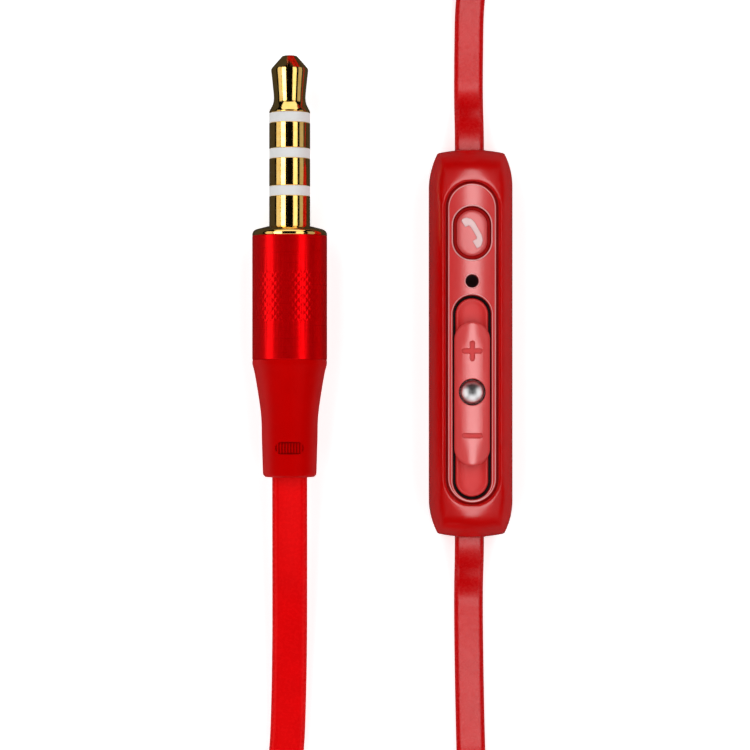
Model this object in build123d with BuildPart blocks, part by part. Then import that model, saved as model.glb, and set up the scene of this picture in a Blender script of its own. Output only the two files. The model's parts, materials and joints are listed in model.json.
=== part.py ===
from build123d import *
import math
import os

os.makedirs("parts", exist_ok=True)

# Wired in-ear earphones with an in-line control, in millimetres.
# Origin: middle of the control's flat back. +X right, +Y towards the right earbud, +Z up from
# the table. The plug and the control lie side by side along Y; the spare cord is wound up.

# ---- in-line control ----
control_length = 33.1
control_width = 7.1
control_height = 6.2
control_end_width = 5.7
control_taper_from = 13.4  # where the straight sides start to curve in
control_end_crown = 0.3
control_wall = 0.8
control_corner = 0.7
control_back_edge = 0.9
control_front_edge = 1.1
split_height = 2.6  # joint plane of the two shells, and the middle of the cords
deck_top = 5.0
deck_thickness = 0.7
panel_length = 27.0
panel_width = 4.15
panel_thickness = 1.0
panel_gap = 0.15
panel_edge = 0.15
button_length = 3.86
button_width = 2.56
button_y = 9.3
button_gap = 0.32
button_top = 6.05
button_travel = 0.3
button_flange = 0.5
microphone_y = 5.24
microphone_hole = 1.1
slot_length = 17.3
slider_side_gap = 0.13
slot_y = -4.6
bed_length = 16.8
bed_side_gap = 0.25
bed_top = 5.45
slider_length = 12.2
slider_width = 3.0
slot_width = slider_width + 2 * slider_side_gap
bed_width = slot_width - 2 * bed_side_gap
slider_y = -4.29
slider_bottom = 5.55
slider_top = 6.35
slider_up = 2.0
slider_down = 2.6
stem_width = 0.9
stem_length = 2.0
ball_radius = 1.025
ball_seat_radius = 1.125
board_length = 25.6
board_width = 4.6
board_bottom = 1.5
board_thickness = 0.5
running_gap = 0.1
press_room = 0.02  # round a piece that is pushed into its hole

# ---- cords ----
main_cord_width = 3.0
main_cord_thickness = 1.2
branch_width = 2.5
branch_thickness = 1.0
slot_room = 0.1  # a slot is this much larger than the cord in it
limp_bend = 3  # tightest bend of a cord, in widths

# ---- plug ----
plug_x = -15.5
barrel_radius = 3.2
barrel_bore = 2.6
barrel_length = 10.6
barrel_top = 9.2
collar_height = 0.8
contact_radius = 1.75
contact_length = 14.6
boot_length = 10.0
boot_end_radius = 2.3
stem_bore = 1.5

# ---- spare cord wound in a long hank below the control ----
hank_x = -7.5
hank_y = -82.3
hank_straight = 46.0
hank_bottom = 0.5
hank_inner = 6.0
hank_outer = 13.3
upper_layer_outer = 8.4
top_layer_outer = 10.9
layer_gap = 0.05
tie_y = -100.0
tie_width = 8.0
tie_thickness = 0.45

# ---- splitter, inside the hank ----
splitter_y = -80.0
splitter_length = 12.0
splitter_top_width = 7.2
splitter_bottom_width = 5.0
splitter_height = 4.2
splitter_wall = 0.8
splitter_corner = 1.3
splitter_edge = 0.8
branch_spread = 1.6

# ---- coil of the upper branch ----
coil_x = -8.9
coil_y = 47.0
coil_outer = 12.8
coil_inner = 9.9

# ---- earbuds ----
bud_radius = 5.75
bud_wall = 0.8
bud_depth = 4.0
nozzle_radius = 2.3
nozzle_bore = 1.6
nozzle_length = 8.6
tip_radius = 5.6
tip_length = 8.2
tip_gap = 0.05
bud_boot_length = 7.0
bud_rest_gap = 0.1

made = {}


def save(piece, name):
    """Label a finished piece and write it as its own STEP file."""
    piece.part.label = name
    export_step(piece.part, f"parts/{name}.step")
    made[name] = piece.part


def pill(length, width):
    """A slot shape along Y with round ends, on the current sketch."""
    return SlotOverall(length, width, rotation=90)


def block(width, length, low, high, at=(0, 0)):
    """A plain box from low to high, added to the current part."""
    with Locations((at[0], at[1], (low + high) / 2)):
        return Box(width, length, high - low)


# ================= in-line control =================


def control_outline(inset=0.0):
    """Plan of the housing: straight sides that curve in to slightly crowned ends."""
    side = control_width / 2 - inset
    end = control_end_width / 2 - inset
    crown_y = control_length / 2 - inset
    corner_y = crown_y - control_end_crown
    with BuildLine() as outline:
        for turn in (1, -1):
            Line((turn * side, -control_taper_from), (turn * side, control_taper_from))
            TangentArc((side, turn * control_taper_from), (end, turn * corner_y), tangent=(0, turn))
            TangentArc((-side, turn * control_taper_from), (-end, turn * corner_y), tangent=(0, turn))
            ThreePointArc((end, turn * corner_y), (0, turn * crown_y), (-end, turn * corner_y))
    make_face(outline.edges())


def end_corners(piece):
    """The upright edges where the housing's sides meet its ends."""
    near_end = control_length / 2 - 1
    edges = piece.edges().filter_by(Axis.Z)
    return [e for e in edges if abs(e.center().Y) > near_end and abs(e.center().X) > 1]


def cord_slots(low, high):
    """Room for the flat cord through both ends of a shell, from low to high."""
    for turn in (1, -1):
        end_y = turn * control_length / 2
        with Locations((0, end_y, (low + high) / 2)):
            Box(branch_width + slot_room, 4 * control_wall, high - low, mode=Mode.SUBTRACT)


cavity_end = control_length / 2 - control_wall
slot_half = (branch_thickness + slot_room) / 2
post_radius = 0.45
post_x = board_width / 2 - 0.5
post_y = board_length / 2 - 1

with BuildPart() as back_shell:
    with BuildSketch():
        control_outline()
    extrude(amount=split_height)
    fillet(end_corners(back_shell), control_corner)
    fillet(back_shell.faces().sort_by(Axis.Z)[0].edges(), control_back_edge)
    with BuildSketch(Plane.XY.offset(control_wall)):
        control_outline(inset=control_wall)
    extrude(amount=control_height, mode=Mode.SUBTRACT)
    cord_slots(split_height - slot_half, split_height + slot_half)
    # four posts carry the circuit board
    with BuildSketch(Plane.XY.offset(control_wall)):
        with GridLocations(2 * post_x, 2 * post_y, 2, 2):
            Circle(post_radius)
    extrude(amount=board_bottom - control_wall)
save(back_shell, "control_back_shell")

deck_bottom = deck_top - deck_thickness
flange_length = button_length + 2 * button_flange
flange_width = button_width + 2 * button_flange
stem_slot_length = stem_length + slider_up + slider_down + 4 * running_gap
stem_slot_y = slider_y + (slider_up - slider_down) / 2
stem_slot_width = stem_width + 4 * running_gap
gasket_radius = 0.9
opening_room = 0.3
flange_corner = 1.1
opening_corner = 1.35
button_corner = 1.05

with BuildPart() as front_shell:
    with BuildSketch(Plane.XY.offset(split_height)):
        control_outline()
    extrude(amount=control_height - split_height)
    fillet(end_corners(front_shell), control_corner)
    fillet(front_shell.faces().sort_by(Axis.Z)[-1].edges(), control_front_edge)
    with BuildSketch(Plane.XY.offset(split_height)):
        control_outline(inset=control_wall)
    extrude(amount=deck_bottom - split_height, mode=Mode.SUBTRACT)
    # recess that holds the face panel
    with BuildSketch(Plane.XY.offset(deck_top)):
        pill(panel_length + 2 * panel_gap, panel_width + 2 * panel_gap)
    extrude(amount=control_height, mode=Mode.SUBTRACT)
    # through the deck: button flange, microphone gasket, slider stem
    with BuildSketch(Plane.XY.offset(deck_bottom)):
        with Locations((0, button_y)):
            RectangleRounded(flange_width + opening_room, flange_length + opening_room, flange_corner + 0.1)
        with Locations((0, microphone_y)):
            Circle(gasket_radius + press_room)
        with Locations((0, stem_slot_y)):
            pill(stem_slot_length + stem_slot_width - stem_width, stem_slot_width)
    extrude(amount=deck_thickness, mode=Mode.SUBTRACT)
    cord_slots(split_height - slot_half, split_height + slot_half)
save(front_shell, "control_front_shell")

with BuildPart() as face_panel:
    with BuildSketch(Plane.XY.offset(deck_top)):
        pill(panel_length, panel_width)
    extrude(amount=panel_thickness)
    fillet(face_panel.faces().sort_by(Axis.Z)[-1].edges(), panel_edge)
    with BuildSketch(Plane.XY.offset(deck_top)):
        with Locations((0, button_y)):
            RectangleRounded(button_width + 2 * button_gap, button_length + 2 * button_gap, opening_corner)
        with Locations((0, microphone_y)):
            Circle(microphone_hole / 2)
        with Locations((0, slot_y)):
            pill(slot_length, slot_width)
    extrude(amount=control_height, mode=Mode.SUBTRACT)
save(face_panel, "face_panel")

flange_thickness = 0.35
flange_low = deck_top - running_gap - flange_thickness
button_edge = 0.35
button_post_radius = 0.8
plunger_radius = 0.7
plunger_height = 0.7
plunger_top = 3.75

with BuildPart() as call_button:
    with BuildSketch(Plane.XY.offset(flange_low)):
        with Locations((0, button_y)):
            RectangleRounded(flange_width, flange_length, flange_corner)
    extrude(amount=flange_thickness)
    with BuildSketch(Plane.XY.offset(flange_low)):
        with Locations((0, button_y)):
            RectangleRounded(button_width, button_length, button_corner)
    extrude(amount=button_top - flange_low)
    fillet(call_button.faces().sort_by(Axis.Z)[-1].edges(), button_edge)
    with Locations((0, button_y, (plunger_top + flange_low) / 2)):
        Cylinder(button_post_radius, flange_low - plunger_top)
save(call_button, "call_button")

board_top = board_bottom + board_thickness
switch_height = 1.2
switch_side = 3.0

with BuildPart() as circuit_board:
    block(board_width, board_length, board_bottom, board_top)
save(circuit_board, "circuit_board")

plunger_bottom = plunger_top - plunger_height
switch_top = board_top + switch_height
well_room = 0.08
well_depth = switch_top - plunger_bottom + button_travel + 0.15  # the plunger goes down into it
with BuildPart() as switch_body:
    block(switch_side, switch_side, board_top, switch_top, at=(0, button_y))
    with Locations((0, button_y, switch_top)):
        Cylinder(plunger_radius + well_room, 2 * well_depth, mode=Mode.SUBTRACT)
save(switch_body, "switch_body")

with BuildPart() as switch_plunger:
    with Locations((0, button_y, (plunger_bottom + plunger_top) / 2)):
        Cylinder(plunger_radius, plunger_top - plunger_bottom)
save(switch_plunger, "switch_plunger")

microphone_height = 1.0
microphone_width = 2.4
microphone_length = 1.7
gasket_bore = 0.45
mesh_thickness = 0.1
with BuildPart() as microphone:
    block(microphone_width, microphone_length, board_top, board_top + microphone_height,
          at=(0, microphone_y))
save(microphone, "microphone")

gasket_low = board_top + microphone_height
gasket_high = deck_top - mesh_thickness
with BuildPart() as microphone_gasket:
    with Locations((0, microphone_y, (gasket_low + gasket_high) / 2)):
        Cylinder(gasket_radius, gasket_high - gasket_low)
        Hole(gasket_bore)
save(microphone_gasket, "microphone_gasket")

with BuildPart() as microphone_mesh:
    with Locations((0, microphone_y, deck_top - mesh_thickness / 2)):
        Cylinder(gasket_radius, mesh_thickness)
save(microphone_mesh, "microphone_mesh")

# slide track soldered to the board; the wiper runs in its groove
wiper_length = 2.6
wiper_width = 1.3
wiper_low = board_top + 0.5
wiper_high = wiper_low + 0.8
groove_length = wiper_length + slider_up + slider_down + 4 * running_gap
groove_low = wiper_low - running_gap
track_top = board_top + 1.0
track_width = 3.4
track_ends = 1.5
with BuildPart() as slide_track:
    block(track_width, groove_length + 2 * track_ends, board_top, track_top, at=(0, stem_slot_y))
    with BuildSketch(Plane.XY.offset(groove_low)):
        with Locations((0, stem_slot_y)):
            Rectangle(wiper_width + 2 * running_gap, groove_length)
    extrude(amount=track_top - groove_low, mode=Mode.SUBTRACT)
save(slide_track, "slide_track")

with BuildPart() as slide_wiper:
    block(wiper_width, wiper_length, wiper_low, wiper_high, at=(0, slider_y))
save(slide_wiper, "slide_wiper")

with BuildPart() as slider_bed:
    with BuildSketch(Plane.XY.offset(deck_top)):
        with Locations((0, slot_y)):
            pill(bed_length, bed_width)
    extrude(amount=bed_top - deck_top)
    with BuildSketch(Plane.XY.offset(deck_top)):
        with Locations((0, stem_slot_y)):
            pill(stem_slot_length + stem_slot_width - stem_width, stem_slot_width)
    extrude(amount=control_height, mode=Mode.SUBTRACT)
save(slider_bed, "slider_bed")

mark_depth = 0.12
mark_width = 0.4
mark_length = 1.73
plus_y = -0.67
minus_y = -7.82
ball_y = -4.14
ball_seat_depth = 0.6
ball_floor = slider_top - ball_seat_depth
slider_edge = 0.2
with BuildPart() as volume_slider:
    with BuildSketch(Plane.XY.offset(slider_bottom)):
        with Locations((0, slider_y)):
            pill(slider_length, slider_width)
    extrude(amount=slider_top - slider_bottom)
    fillet(volume_slider.faces().sort_by(Axis.Z)[-1].edges(), slider_edge)
    with BuildSketch(Plane.XY.offset(slider_top - mark_depth)):
        with Locations((0, plus_y), (0, minus_y)):
            Rectangle(mark_length, mark_width)
        with Locations((0, plus_y)):
            Rectangle(mark_width, mark_length)
    extrude(amount=1, mode=Mode.SUBTRACT)
    with BuildSketch(Plane.XY.offset(ball_floor)):
        with Locations((0, ball_y)):
            Circle(ball_seat_radius)
    extrude(amount=1, mode=Mode.SUBTRACT)
    block(stem_width, stem_length, wiper_high, slider_bottom, at=(0, slider_y))
save(volume_slider, "volume_slider")

with BuildPart() as slider_ball:
    with BuildSketch(Plane.YZ):
        with BuildLine():
            CenterArc((ball_y, ball_floor), ball_radius, 0, 90)
            Line((ball_y, ball_floor + ball_radius), (ball_y, ball_floor))
            Line((ball_y, ball_floor), (ball_y + ball_radius, ball_floor))
        make_face()
    revolve(axis=Axis((0, ball_y, ball_floor), (0, 0, 1)))
save(slider_ball, "slider_ball")

# a bead on each cord end sits in the shells, and its neck fills the cord's slot
anchor_length = 1.8
anchor_face = cavity_end - anchor_length
bead_length = anchor_length - 0.25  # stops short of the shells' end walls
bead_width = 3.4
bead_height = 2.0
for name, turn in (("upper_cord_anchor", 1), ("lower_cord_anchor", -1)):
    with BuildPart() as anchor:
        with Locations((0, turn * (anchor_face + bead_length / 2), split_height)):
            Box(bead_width, bead_length, bead_height)
        with Locations((0, turn * (anchor_face + control_length / 2) / 2, split_height)):
            Box(branch_width, control_length / 2 - anchor_face, branch_thickness)
    save(anchor, name)

wire_radius = 0.15
wire_pitch = 0.6
wire_end_y = board_length / 2 - 1.4
with BuildPart() as lead_wires:
    for turn in (1, -1):
        for wire_x in [wire_pitch * place for place in (-1.5, -0.5, 0.5, 1.5)]:
            with BuildLine() as wire:
                FilletPolyline(
                    (wire_x, turn * anchor_face, split_height),
                    (wire_x, turn * (anchor_face - 0.5), split_height),
                    (wire_x, turn * (anchor_face - 1.1), board_top + wire_radius),
                    (wire_x, turn * wire_end_y, board_top + wire_radius),
                    radius=0.35,
                )
            with BuildSketch(Plane(origin=wire.line @ 0, z_dir=wire.line % 0)):
                Circle(wire_radius)
            sweep(path=wire.line)
save(lead_wires, "lead_wires")

# ================= plug =================
# Everything turned about the plug's axis, drawn as (radius, y) on a plane through it.

plug_z = barrel_radius
collar_top = barrel_top + collar_height
tip_end = collar_top + contact_length
barrel_end = barrel_top - barrel_length
boot_end = barrel_end - boot_length
plug_axis = Axis((plug_x, 0, plug_z), (0, 1, 0))
plug_plane = Plane(origin=(plug_x, 0, plug_z), x_dir=(1, 0, 0), z_dir=(0, 0, 1))


def turned_on_plug(points):
    """Revolve a closed outline of (radius, y) points about the plug's axis."""
    with BuildSketch(plug_plane) as profile:
        with BuildLine():
            Polyline(*points, close=True)
        make_face()
    revolve(profile.sketch, axis=plug_axis)


# exposed bands between the collar and the tip, and the nested stems behind them
sleeve_band = 2.58
band_2_length = 2.36
band_1_length = 2.2
band_gap = 0.85
sleeve_end = collar_top + sleeve_band
band_2_end = sleeve_end + band_gap + band_2_length
band_1_end = band_2_end + band_gap + band_1_length
tip_start = band_1_end + band_gap
stem_steps = [0.45, 0.65, 0.85, 1.05, 1.2, 1.35, stem_bore]
stem_ends = [4.0, 4.4, 4.8, 5.2, 5.6, 6.0, 6.4]


def contact_layer(layer, band_low, band_high):
    """One nested tube with its exposed band: layer 1 is the first round the tip's stem."""
    inner, outer, rear = stem_steps[layer - 1], stem_steps[layer], stem_ends[layer]
    turned_on_plug([
        (inner, rear), (outer, rear), (outer, band_low),
        (contact_radius, band_low), (contact_radius, band_high), (inner, band_high),
    ])


with BuildPart() as plug_tip_contact:
    waist_y = tip_start + 1.28
    shoulder_y = tip_end - 1.2
    turned_on_plug([
        (0, stem_ends[0]), (stem_steps[0], stem_ends[0]), (stem_steps[0], tip_start),
        (contact_radius, tip_start), (contact_radius, tip_start + 0.25),
        (1.38, waist_y - 0.3), (1.35, waist_y + 0.3), (1.58, shoulder_y),
        (0.95, tip_end - 0.3), (0.6, tip_end), (0, tip_end),
    ])
save(plug_tip_contact, "plug_tip_contact")

with BuildPart() as plug_ring_contact_1:
    contact_layer(2, band_2_end + band_gap, band_1_end)
save(plug_ring_contact_1, "plug_ring_contact_1")

with BuildPart() as plug_ring_contact_2:
    contact_layer(4, sleeve_end + band_gap, band_2_end)
save(plug_ring_contact_2, "plug_ring_contact_2")

with BuildPart() as plug_sleeve_contact:
    contact_layer(6, collar_top, sleeve_end)
save(plug_sleeve_contact, "plug_sleeve_contact")

with BuildPart() as plug_insulators:
    contact_layer(1, band_1_end, tip_start)
    contact_layer(3, band_2_end, band_2_end + band_gap)
    contact_layer(5, sleeve_end, sleeve_end + band_gap)
save(plug_insulators, "plug_insulators")

with BuildPart() as plug_collar:
    turned_on_plug([
        (stem_bore, barrel_top), (barrel_radius, barrel_top), (barrel_radius - 0.15, collar_top - 0.15),
        (barrel_radius - 0.45, collar_top), (stem_bore, collar_top),
    ])
save(plug_collar, "plug_collar")

mould_end = barrel_end + 0.4
mould_radius = barrel_bore - press_room
with BuildPart() as plug_inner_mould:
    bore = [(0, stem_ends[0])]
    for k, radius in enumerate(stem_steps):
        bore += [(radius, stem_ends[k])]
        if k + 1 < len(stem_ends):
            bore += [(radius, stem_ends[k + 1])]
    turned_on_plug([(0, mould_end), (mould_radius, mould_end), (mould_radius, barrel_top),
                    (stem_bore, barrel_top)] + bore[::-1])
save(plug_inner_mould, "plug_inner_mould")

with BuildPart() as plug_barrel:
    turned_on_plug([
        (barrel_bore, barrel_end), (barrel_radius, barrel_end),
        (barrel_radius, barrel_top), (barrel_bore, barrel_top),
    ])
save(plug_barrel, "plug_barrel")

# soft tapered boot with a wire chamber and a small thumb recess on top
chamber_depth = 3.2
chamber_radius = 1.9
boot_shares = [(0.1, 0.19), (0.2, 0.38), (0.3, 0.53), (0.4, 0.72), (0.5, 0.84), (0.62, 0.89), (0.8, 0.94)]
boot_drop = barrel_radius - boot_end_radius
boot_side = [(barrel_radius - share * boot_drop, barrel_end - along * boot_length)
             for along, share in boot_shares]
recess_length = 1.05
recess_width = 2.4
recess_y = barrel_end - 7.5
recess_floor = 1.9  # above the plug's axis
with BuildPart() as plug_boot:
    turned_on_plug(
        [(0, barrel_end - chamber_depth), (chamber_radius, barrel_end - chamber_depth),
         (chamber_radius, barrel_end),
         (barrel_radius, barrel_end)] + boot_side
        + [(boot_end_radius, boot_end + 0.2), (boot_end_radius - 0.2, boot_end), (0, boot_end)])
    with BuildSketch(Plane.XY.offset(plug_z + recess_floor)):
        with Locations((plug_x + 0.05, recess_y)):
            RectangleRounded(recess_width, recess_length, 0.4)
    extrude(amount=3, mode=Mode.SUBTRACT)
save(plug_boot, "plug_boot")

plug_wire_pitch = 0.7
plug_wire_radius = 0.2
with BuildPart() as plug_wires:
    with BuildSketch(Plane(origin=(plug_x, mould_end, plug_z), x_dir=(1, 0, 0), z_dir=(0, -1, 0))):
        with GridLocations(plug_wire_pitch, plug_wire_pitch, 2, 2):
            Circle(plug_wire_radius)
    extrude(amount=mould_end - barrel_end + chamber_depth)
save(plug_wires, "plug_wires")

# ================= splitter =================

splitter_mid = splitter_height / 2
splitter_top = splitter_y + splitter_length / 2
splitter_bottom = splitter_y - splitter_length / 2


def splitter_outline(inset=0.0):
    """Plan of the splitter: wider at the end where the two branches leave."""
    top, bottom = splitter_top_width / 2 - inset, splitter_bottom_width / 2 - inset
    half = splitter_length / 2 - inset
    with Locations((hank_x, splitter_y)):
        Polygon((-bottom, -half), (bottom, -half), (top, half), (-top, half), align=None)


def splitter_slots():
    """Room for the main cord at one end and for the two branches at the other."""
    with Locations((hank_x, splitter_bottom, splitter_mid)):
        Box(main_cord_width + slot_room, 4 * splitter_wall, main_cord_thickness + slot_room,
            mode=Mode.SUBTRACT)
    with Locations(*[(hank_x + turn * branch_spread, splitter_top, splitter_mid) for turn in (1, -1)]):
        Box(branch_width + slot_room, 4 * splitter_wall, branch_thickness + slot_room, mode=Mode.SUBTRACT)


for name, low, outer_face in (("splitter_back", 0, 0), ("splitter_front", splitter_mid, -1)):
    with BuildPart() as shell:
        with BuildSketch(Plane.XY.offset(low)):
            splitter_outline()
        extrude(amount=splitter_mid)
        fillet(shell.edges().filter_by(Axis.Z), splitter_corner)
        fillet(shell.faces().sort_by(Axis.Z)[outer_face].edges(), splitter_edge)
        with BuildSketch(Plane.XY.offset(splitter_wall)):
            splitter_outline(inset=splitter_wall)
        extrude(amount=splitter_height - 2 * splitter_wall, mode=Mode.SUBTRACT)
        splitter_slots()
    save(shell, name)

# the potted joint inside, with a neck in each slot that the cord's end meets
bead_room = 0.3
neck_length = 2 * splitter_wall
bead_end_gap = 0.6
with BuildPart() as splitter_bead:
    with Locations((hank_x, splitter_y, splitter_mid)):
        Box(splitter_bottom_width - 2 * splitter_wall - bead_room,
            splitter_length - 2 * splitter_wall - 2 * bead_end_gap,
            splitter_height - 2 * splitter_wall)
    with Locations((hank_x, splitter_bottom + neck_length / 2, splitter_mid)):
        Box(main_cord_width, neck_length, main_cord_thickness)
    with Locations(*[(hank_x + turn * branch_spread, splitter_top - neck_length / 2, splitter_mid)
                     for turn in (1, -1)]):
        Box(branch_width, neck_length, branch_thickness)
save(splitter_bead, "splitter_bead")

# ================= wound cord =================


def wound_ring(name, centre, straight, inner, outer, low, high):
    """The outer shape of a neat hank or coil lying flat, open in the middle."""
    with BuildPart() as ring:
        with BuildSketch(Plane.XY.offset(low)):
            with Locations(centre):
                if straight:
                    SlotCenterToCenter(straight, 2 * outer, rotation=90)
                    SlotCenterToCenter(straight, 2 * inner, rotation=90, mode=Mode.SUBTRACT)
                else:
                    Circle(outer)
                    Circle(inner, mode=Mode.SUBTRACT)
        extrude(amount=high - low)
    save(ring, name)


hank_centre = (hank_x, hank_y)
first_layer_top = hank_bottom + main_cord_width
second_layer = first_layer_top + layer_gap
third_layer = second_layer + branch_width + layer_gap
hank_top = third_layer + branch_width
wound_ring("main_cord_hank", hank_centre, hank_straight, hank_inner, hank_outer,
           hank_bottom, first_layer_top)
wound_ring("lower_branch_hank", hank_centre, hank_straight, hank_inner, upper_layer_outer,
           second_layer, second_layer + branch_width)
wound_ring("left_branch_hank", hank_centre, hank_straight, hank_inner, top_layer_outer,
           third_layer, hank_top)
wound_ring("upper_branch_coil", (coil_x, coil_y), 0, coil_inner, coil_outer, 0, branch_width)

# the tie goes once round the whole hank
tie_top = hank_top + layer_gap
tie_low_side = hank_outer + 2 * layer_gap
tie_high_side = top_layer_outer + 4 * layer_gap


def tie_inside(mode=Mode.ADD):
    """Face of the wound cord's cross-section: wide main layer below, narrower layers on it."""
    with BuildLine() as around:
        Polyline(
            (-tie_low_side, hank_bottom), (tie_low_side, hank_bottom), (tie_low_side, first_layer_top),
            (tie_high_side, tie_top), (-tie_high_side, tie_top), (-tie_low_side, first_layer_top),
            close=True,
        )
    make_face(around.edges(), mode=mode)


with BuildPart() as cord_tie:
    tie_plane = Plane(origin=(hank_x, tie_y - tie_width / 2, 0), x_dir=(1, 0, 0), z_dir=(0, -1, 0))
    with BuildSketch(tie_plane):
        tie_inside()
        offset(amount=tie_thickness, kind=Kind.ARC)
        tie_inside(mode=Mode.SUBTRACT)
    extrude(amount=-tie_width)
save(cord_tie, "cord_tie")

# ================= free cords =================


def corner_radii(route):
    """The largest even arc at each corner: 0.45 of the shorter run over the tangent of half the turn."""
    radii = []
    for before, corner, after in zip(route, route[1:], route[2:]):
        into, out = Vector(*corner) - Vector(*before), Vector(*after) - Vector(*corner)
        half_turn = math.radians(into.get_angle(out)) / 2
        radii.append(0.45 * min(into.length, out.length) / math.tan(half_turn))
    return radii


def flat_cord(name, route, width, thickness):
    """A flat cord swept along straight runs joined by tangent arcs."""
    radii = corner_radii(route)
    with BuildPart() as cord:
        with BuildLine():
            path = FilletPolyline(*route, radius=radii)
        with BuildSketch(Plane(origin=path @ 0, x_dir=(1, 0, 0), z_dir=path % 0)):
            SlotOverall(width, thickness)
        sweep(path=path)
    section = (width - thickness) * thickness + math.pi * thickness**2 / 4
    expected = section * path.length
    print(name, "radii", [round(r, 1) for r in radii], "tightest allowed", limp_bend * width,
          "length", round(path.length, 1), "volume share", round(cord.part.volume / expected, 4))
    save(cord, name)


branch_on_table = branch_thickness / 2 + 0.03
control_end = control_length / 2
second_mid = second_layer + branch_width / 2
third_mid = third_layer + branch_width / 2
first_mid = hank_bottom + main_cord_width / 2

flat_cord("main_cord", [
    (plug_x, boot_end, plug_z), (plug_x, boot_end - 6, 3.05), (-15.55, -28, 1.5),
    (-15.9, -38, 0.75), (-18.6, -48.5, 0.95), (-20.1, -58.5, first_mid), (-20.2, -66, first_mid),
], main_cord_width, main_cord_thickness)

flat_cord("main_cord_tail", [
    (-0.9, -108, first_mid), (-1.2, -102, first_mid), (hank_x, -92.5, splitter_mid),
    (hank_x, splitter_bottom, splitter_mid),
], main_cord_width, main_cord_thickness)

flat_cord("lower_branch_cord", [
    (-0.1, -control_end, split_height), (-0.1, -19, 2.45), (-0.1, -24, branch_on_table),
    (0, -31, branch_on_table), (0.15, -37, 0.65), (0.25, -46.8, 5.15), (0.2, -52, 4.95),
    (0.25, -56.3, second_mid),
], branch_width, branch_thickness)

flat_cord("lower_branch_tail", [
    (-0.9, -56.5, second_mid), (-1.0, -61.5, 4.7), (hank_x + branch_spread, -69, 3.1),
    (hank_x + branch_spread, splitter_top, splitter_mid),
], branch_width, branch_thickness)

flat_cord("left_branch_tail", [
    (hank_x - branch_spread, splitter_top, splitter_mid), (hank_x - branch_spread, -69.5, 3.8),
    (-12.6, -62, third_mid), (-13.9, -56.8, 7.5),
], branch_width, branch_thickness)

# the buds lie on the wound cord, their noses along X
left_bud = (-13.0, -65.25, hank_top + bud_rest_gap + bud_radius)
right_bud = (-1.0, 56.9, branch_width + bud_rest_gap + bud_radius)
bud_boot_back = 2.2
bud_boot_end = bud_radius + bud_boot_length

flat_cord("left_branch_cord", [
    (-17.0, -98, 7.3), (-17.0, -93.5, 7.45), (-15.9, -85.5, 12.3), (-15.3, -81.5, 14.2),
    (left_bud[0] - bud_boot_back, left_bud[1] - bud_boot_end, left_bud[2]),
], branch_width, branch_thickness)

flat_cord("upper_branch_cord", [
    (-0.1, control_end, split_height), (-0.1, 19, 2.45), (-0.1, 24, branch_on_table),
    (0, 31, branch_on_table), (1.7, 38, 0.9), (3.2, 44.5, 1.25), (3.3, 49.5, 1.25),
], branch_width, branch_thickness)

flat_cord("upper_branch_tail", [
    (-18.3, 44.5, 1.3), (-18.0, 39.5, 1.7), (-15.4, 35.1, 2.95), (-11.0, 32.6, 4.3),
    (-5.9, 32.6, 5.7), (-1.5, 35.1, 7.0), (1.15, 39.5, 8.1),
    (right_bud[0] + bud_boot_back, right_bud[1] - bud_boot_end, right_bud[2]),
], branch_width, branch_thickness)

# ================= earbuds =================
# Turned about each bud's own axis, drawn as (distance towards the nozzle, radius).

joint = 0.8  # thickness of the trim ring between the shells
cap_radius = 4.3
cap_floor = 0.4 - bud_depth - bud_wall
frame_radius = bud_radius - 1.25
buds = {"left": (left_bud, 1), "right": (right_bud, -1)}


def turned_on_bud(side, points):
    """Revolve a closed outline about the axis of one earbud."""
    centre, facing = buds[side]
    with BuildSketch(Plane(origin=centre, x_dir=(facing, 0, 0), z_dir=(0, 0, 1))) as profile:
        with BuildLine():
            Polyline(*points, close=True)
        make_face()
    revolve(profile.sketch, axis=Axis(centre, (facing, 0, 0)))


def boot_plane(side, distance):
    """Plane across one bud's cord boot, at a distance from the bud's axis."""
    centre, facing = buds[side]
    origin = (centre[0] - facing * bud_boot_back, centre[1] - distance, centre[2])
    return Plane(origin=origin, x_dir=(1, 0, 0), z_dir=(0, -1, 0))


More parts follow.
